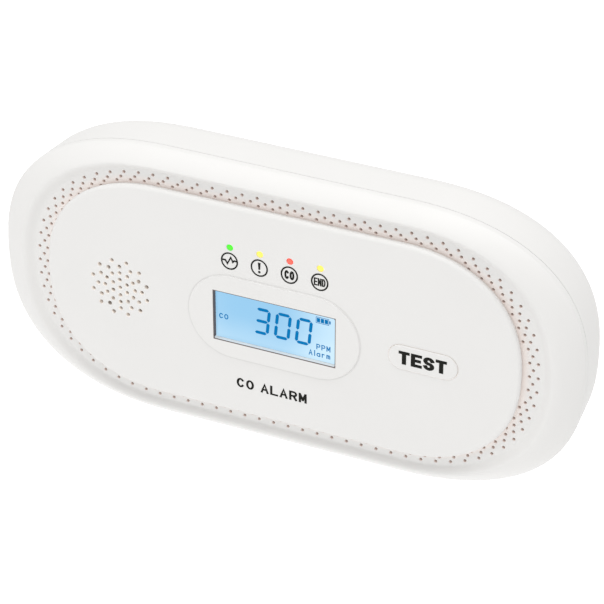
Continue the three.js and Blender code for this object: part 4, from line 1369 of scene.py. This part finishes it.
class DETECTOR_OT_cells(bpy.types.Operator):
    """Cells and contacts: three sleeved cells between plates with coil springs and dimples"""

    bl_idname = "detector.cells"
    bl_label = "Cells and contacts"

    def execute(self, context):
        for i, facing in ((1, 1), (2, -1), (3, 1)):
            low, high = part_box(f"battery_cell_{i}")
            centre = (low + high) / 2
            radius, half = (high.z - low.z) / 2, (high.x - low.x) / 2
            shoulder = half - 1.2 * MM
            nub = 2.7 * MM
            turn = np.linspace(0, QUARTER_TURN, 5)
            foot = np.column_stack(
                (radius - 0.7 * MM * (1 - np.sin(turn)), -half + 0.7 * MM * (1 - np.cos(turn)))
            )
            head = foot[::-1] * (1, -1) + (0, shoulder - half)
            tip = np.array(((nub, shoulder), (nub, half - 0.2 * MM), (nub - 0.2 * MM, half)))
            profile = np.concatenate((((0.5 * MM, -half),), foot, head, tip, ((0.5 * MM, half),)))
            shape = Shape().turned(profile, centre, (facing, 0, 0), 64)
            sleeve = cell_sleeve(f"cell_{i}_sleeve", facing)
            name = f"battery_cell_{i}"
            piece(f"{name}_fine", shape, sleeve, "case", "cell_label", name)
        plated = metal("contact_nickel", (0.74, 0.71, 0.64), 0.24, "Z")
        for node, side, ends in (
            ("contact_left_pair", -1, ((1, True), (2, False))),
            ("contact_left_single", -1, ((3, True),)),
            ("contact_right_single", 1, ((1, False),)),
            ("contact_right_pair", 1, ((2, True), (3, False))),
        ):
            low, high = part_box(node)
            outer = high.x if side > 0 else low.x
            face = outer - side * 0.5 * MM
            near, far = min(outer, face), max(outer, face)
            shape = Shape().box((near, low.y, low.z), (far, high.y, high.z))
            for cell, spring in ends:
                at = middle(f"battery_cell_{cell}")
                if spring:
                    root = (face - side * 0.3 * MM, at.y, at.z)
                    helix(shape, root, side, 4.1 * MM, 2.5 * MM, 1.35 * MM, 0.33 * MM)
                else:
                    turn = np.linspace(0, QUARTER_TURN, 6)
                    dome = [(2.6 * MM, -0.1 * MM)] + [
                        (1.6 * MM + MM * math.cos(a), 1.95 * MM * math.sin(a)) for a in turn
                    ]
                    shape.turned(dome, (face, at.y, at.z), (-side, 0, 0), 32)
            piece(f"{node}_fine", shape, plated, "case", "nickel", node)
        return {"FINISHED"}


class DETECTOR_OT_screws(bpy.types.Operator):
    """Screws: cross-recessed heads on threaded shanks"""

    bl_idname = "detector.screws"
    bl_label = "Screws"

    def execute(self, context):
        plated = metal("screw_zinc", (0.60, 0.62, 0.65), 0.26, "Y")
        sizes = [(node, 1.3, 1.9, 2.6) for node in CASE_SCREWS]
        sizes += [(node, 1.0, 1.0, 2.0) for node in BOARD_SCREWS]
        for node, shank, head, head_radius in sizes:
            low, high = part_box(node)
            at = (low + high) / 2
            seat = high.y - head * MM
            tip = low.y - seat
            pitch = 0.5 * MM
            count = int((-tip - 1.6 * MM) / pitch)
            base = -0.4 * MM - pitch * np.arange(count)
            crest, root = shank * MM, 0.78 * shank * MM
            thread = np.column_stack((np.tile((crest, root), count), np.repeat(base, 2)))
            thread[1::2, 1] -= pitch / 2
            point = [(0.05 * MM, tip), (0.3 * crest, tip), (root, tip + 1.1 * MM)]
            turn = np.linspace(0, QUARTER_TURN, 7)
            dome = np.column_stack(
                (head_radius * (0.35 + 0.65 * np.cos(turn)), head * (0.4 + 0.6 * np.sin(turn)))
            )
            collar = ((shank, 0), (head_radius, 0))
            cap = np.concatenate((collar, dome, ((0.05, head),))) * MM
            profile = np.concatenate((point, thread[::-1], cap))
            shape = Shape().turned(profile, (at.x, seat, at.z), sides=40)
            wide, narrow, deep = 0.58 * head_radius * MM, 0.16 * head_radius * MM, 0.6 * head * MM
            top = seat + head * MM
            cross = [
                block(at.x - a, at.x + a, top - deep, top + MM, at.z - b, at.z + b)
                for a, b in ((wide, narrow), (narrow, wide))
            ]
            mesh = combined(f"{node}_fine", shape, cut_away(*cross))
            piece(f"{node}_fine", mesh, plated, "case", "steel", node)
        return {"FINISHED"}


class DETECTOR_OT_inside(bpy.types.Operator):
    """Finishes of the sounder, the board, what is on it, and the switch"""

    bl_idname = "detector.inside"
    bl_label = "Inner pieces"

    def execute(self, context):
        for node, name, tint, roughness in (
            ("sounder_case", "sounder_plastic", (0.018, 0.019, 0.021), 0.5),
            ("sounder_lead_red", "lead_red", (0.42, 0.02, 0.015), 0.45),
            ("sounder_lead_black", "lead_black", (0.015, 0.015, 0.016), 0.45),
            ("controller_chip", "chip_epoxy", (0.016, 0.016, 0.018), 0.6),
            ("buffer_capacitor", "capacitor_sleeve", (0.02, 0.025, 0.05), 0.35),
            ("boost_inductor", "inductor_ferrite", (0.04, 0.04, 0.042), 0.75),
        ):
            dress(node, plain_plastic(name, tint, roughness))
        dress("sounder_disc", metal("sounder_brass", (0.72, 0.50, 0.18), 0.3, "X"))
        dress("main_board", circuit_board("board_mask"))
        dress("co_sensor", metal("sensor_can", (0.66, 0.67, 0.69), 0.3, "Y"))
        switch = plain_plastic("switch_plastic", (0.015, 0.015, 0.017), 0.45)
        dress("switch_body", switch)
        dress("switch_plunger", switch)
        return {"FINISHED"}


# ---- Studio ----------------------------------------------------------------------------------
def softbox(name, place, width, depth, power):
    """A rectangular light that faces the middle of the detector's back."""
    data = bpy.data.lights.new(name, "AREA")
    data.shape = "RECTANGLE"
    data.size = width
    data.size_y = depth
    data.energy = power
    light = bpy.data.objects.new(name, data)
    bpy.context.scene.collection.objects.link(light)
    light.location = place
    light.rotation_euler = (-Vector(place)).to_track_quat("-Z", "Y").to_euler()


class DETECTOR_OT_studio(bpy.types.Operator):
    """Stage: pale floor that gives some light, white surroundings, three soft lights and camera"""

    bl_idname = "detector.studio"
    bl_label = "Studio"

    def execute(self, context):
        scene = context.scene
        studio = scene.detector_studio
        floor_z = REAR_LOW.z - studio.floor_drop
        reach = 6.0
        corners = [
            (x * reach, y * reach, floor_z) for x, y in ((-1, -1), (1, -1), (1, 1), (-1, 1))
        ]
        mesh = bpy.data.meshes.new("floor")
        mesh.from_pydata(corners, [], [(0, 1, 2, 3)])
        pale = Finish("floor_pale", roughness=0.9, specular_ior_level=0.0)
        pale.set("Base Color", pale.mix(pale.noise(0.4), (0.44, 0.44, 0.44), (0.46, 0.46, 0.46)))
        pale.set("Emission Color", (1, 1, 1))
        pale.set("Emission Strength", 0.78)
        mesh.materials.append(pale.material)
        floor = bpy.data.objects.new("floor", mesh)
        scene.collection.objects.link(floor)
        world = bpy.data.worlds.new("white_surroundings")
        world.use_nodes = True
        background = world.node_tree.nodes["Background"]
        background.inputs["Color"].default_value = (1, 1, 1, 1)
        background.inputs["Strength"].default_value = studio.world
        scene.world = world
        softbox("light_above", (0.1, -0.12, 1.0), 0.9, 0.9, studio.key_light)
        softbox("light_left", (-0.8, -0.7, 0.3), 0.6, 0.6, studio.fill_light)
        softbox("light_low", (-0.1, -0.75, -0.14), 0.7, 0.08, studio.low_light)
        scene.view_settings.view_transform = "Standard"
        azimuth, elevation, roll = studio.azimuth, studio.elevation, studio.roll
        level = math.cos(elevation)
        out = Vector((math.sin(azimuth) * level, -math.cos(azimuth) * level, math.sin(elevation)))
        right = Vector((0, 0, 1)).cross(out).normalized()
        up = out.cross(right)
        rolled = right * math.cos(roll) + up * math.sin(roll)
        rolled_up = up * math.cos(roll) - right * math.sin(roll)
        data = bpy.data.cameras.new("camera")
        data.lens = studio.lens
        data.clip_end = 20
        camera = bpy.data.objects.new("camera", data)
        scene.collection.objects.link(camera)
        aim = Vector((studio.aim_x, PANEL_FACE, studio.aim_z))
        turned = Matrix((rolled, rolled_up, out)).transposed().to_4x4()
        camera.matrix_world = Matrix.Translation(aim + out * studio.distance) @ turned
        scene.camera = camera
        return {"FINISHED"}


# ---- Add-on ----------------------------------------------------------------------------------
BUILDERS = (
    DETECTOR_OT_rear_housing,
    DETECTOR_OT_front_housing,
    DETECTOR_OT_front_panel,
    DETECTOR_OT_legends,
    DETECTOR_OT_test_key,
    DETECTOR_OT_display,
    DETECTOR_OT_lamps,
    DETECTOR_OT_battery_door,
    DETECTOR_OT_cells,
    DETECTOR_OT_screws,
    DETECTOR_OT_inside,
    DETECTOR_OT_studio,
)


class DETECTOR_PT_pieces(bpy.types.Panel):
    """Buttons that build the pieces, and the sizes they are built to"""

    bl_label = "Carbon Monoxide Detector"
    bl_idname = "DETECTOR_PT_pieces"
    bl_space_type = "VIEW_3D"
    bl_region_type = "UI"
    bl_category = "Detector"

    def draw(self, context):
        for builder in BUILDERS:
            self.layout.operator(builder.bl_idname)
        for name, group in GROUPS.items():
            box = self.layout.box()
            for key in group.__annotations__:
                box.prop(getattr(context.scene, name), key)


def register():
    for kind in (*GROUPS.values(), *BUILDERS, DETECTOR_PT_pieces):
        bpy.utils.register_class(kind)
    for name, group in GROUPS.items():
        setattr(bpy.types.Scene, name, PointerProperty(type=group))


def unregister():
    for name in GROUPS:
        delattr(bpy.types.Scene, name)
    for kind in (DETECTOR_PT_pieces, *BUILDERS[::-1], *GROUPS.values()):
        bpy.utils.unregister_class(kind)


def main():
    register()
    for builder in BUILDERS:
        group, name = builder.bl_idname.split(".")
        getattr(getattr(bpy.ops, group), name)()


if __name__ == "__main__":
    main()
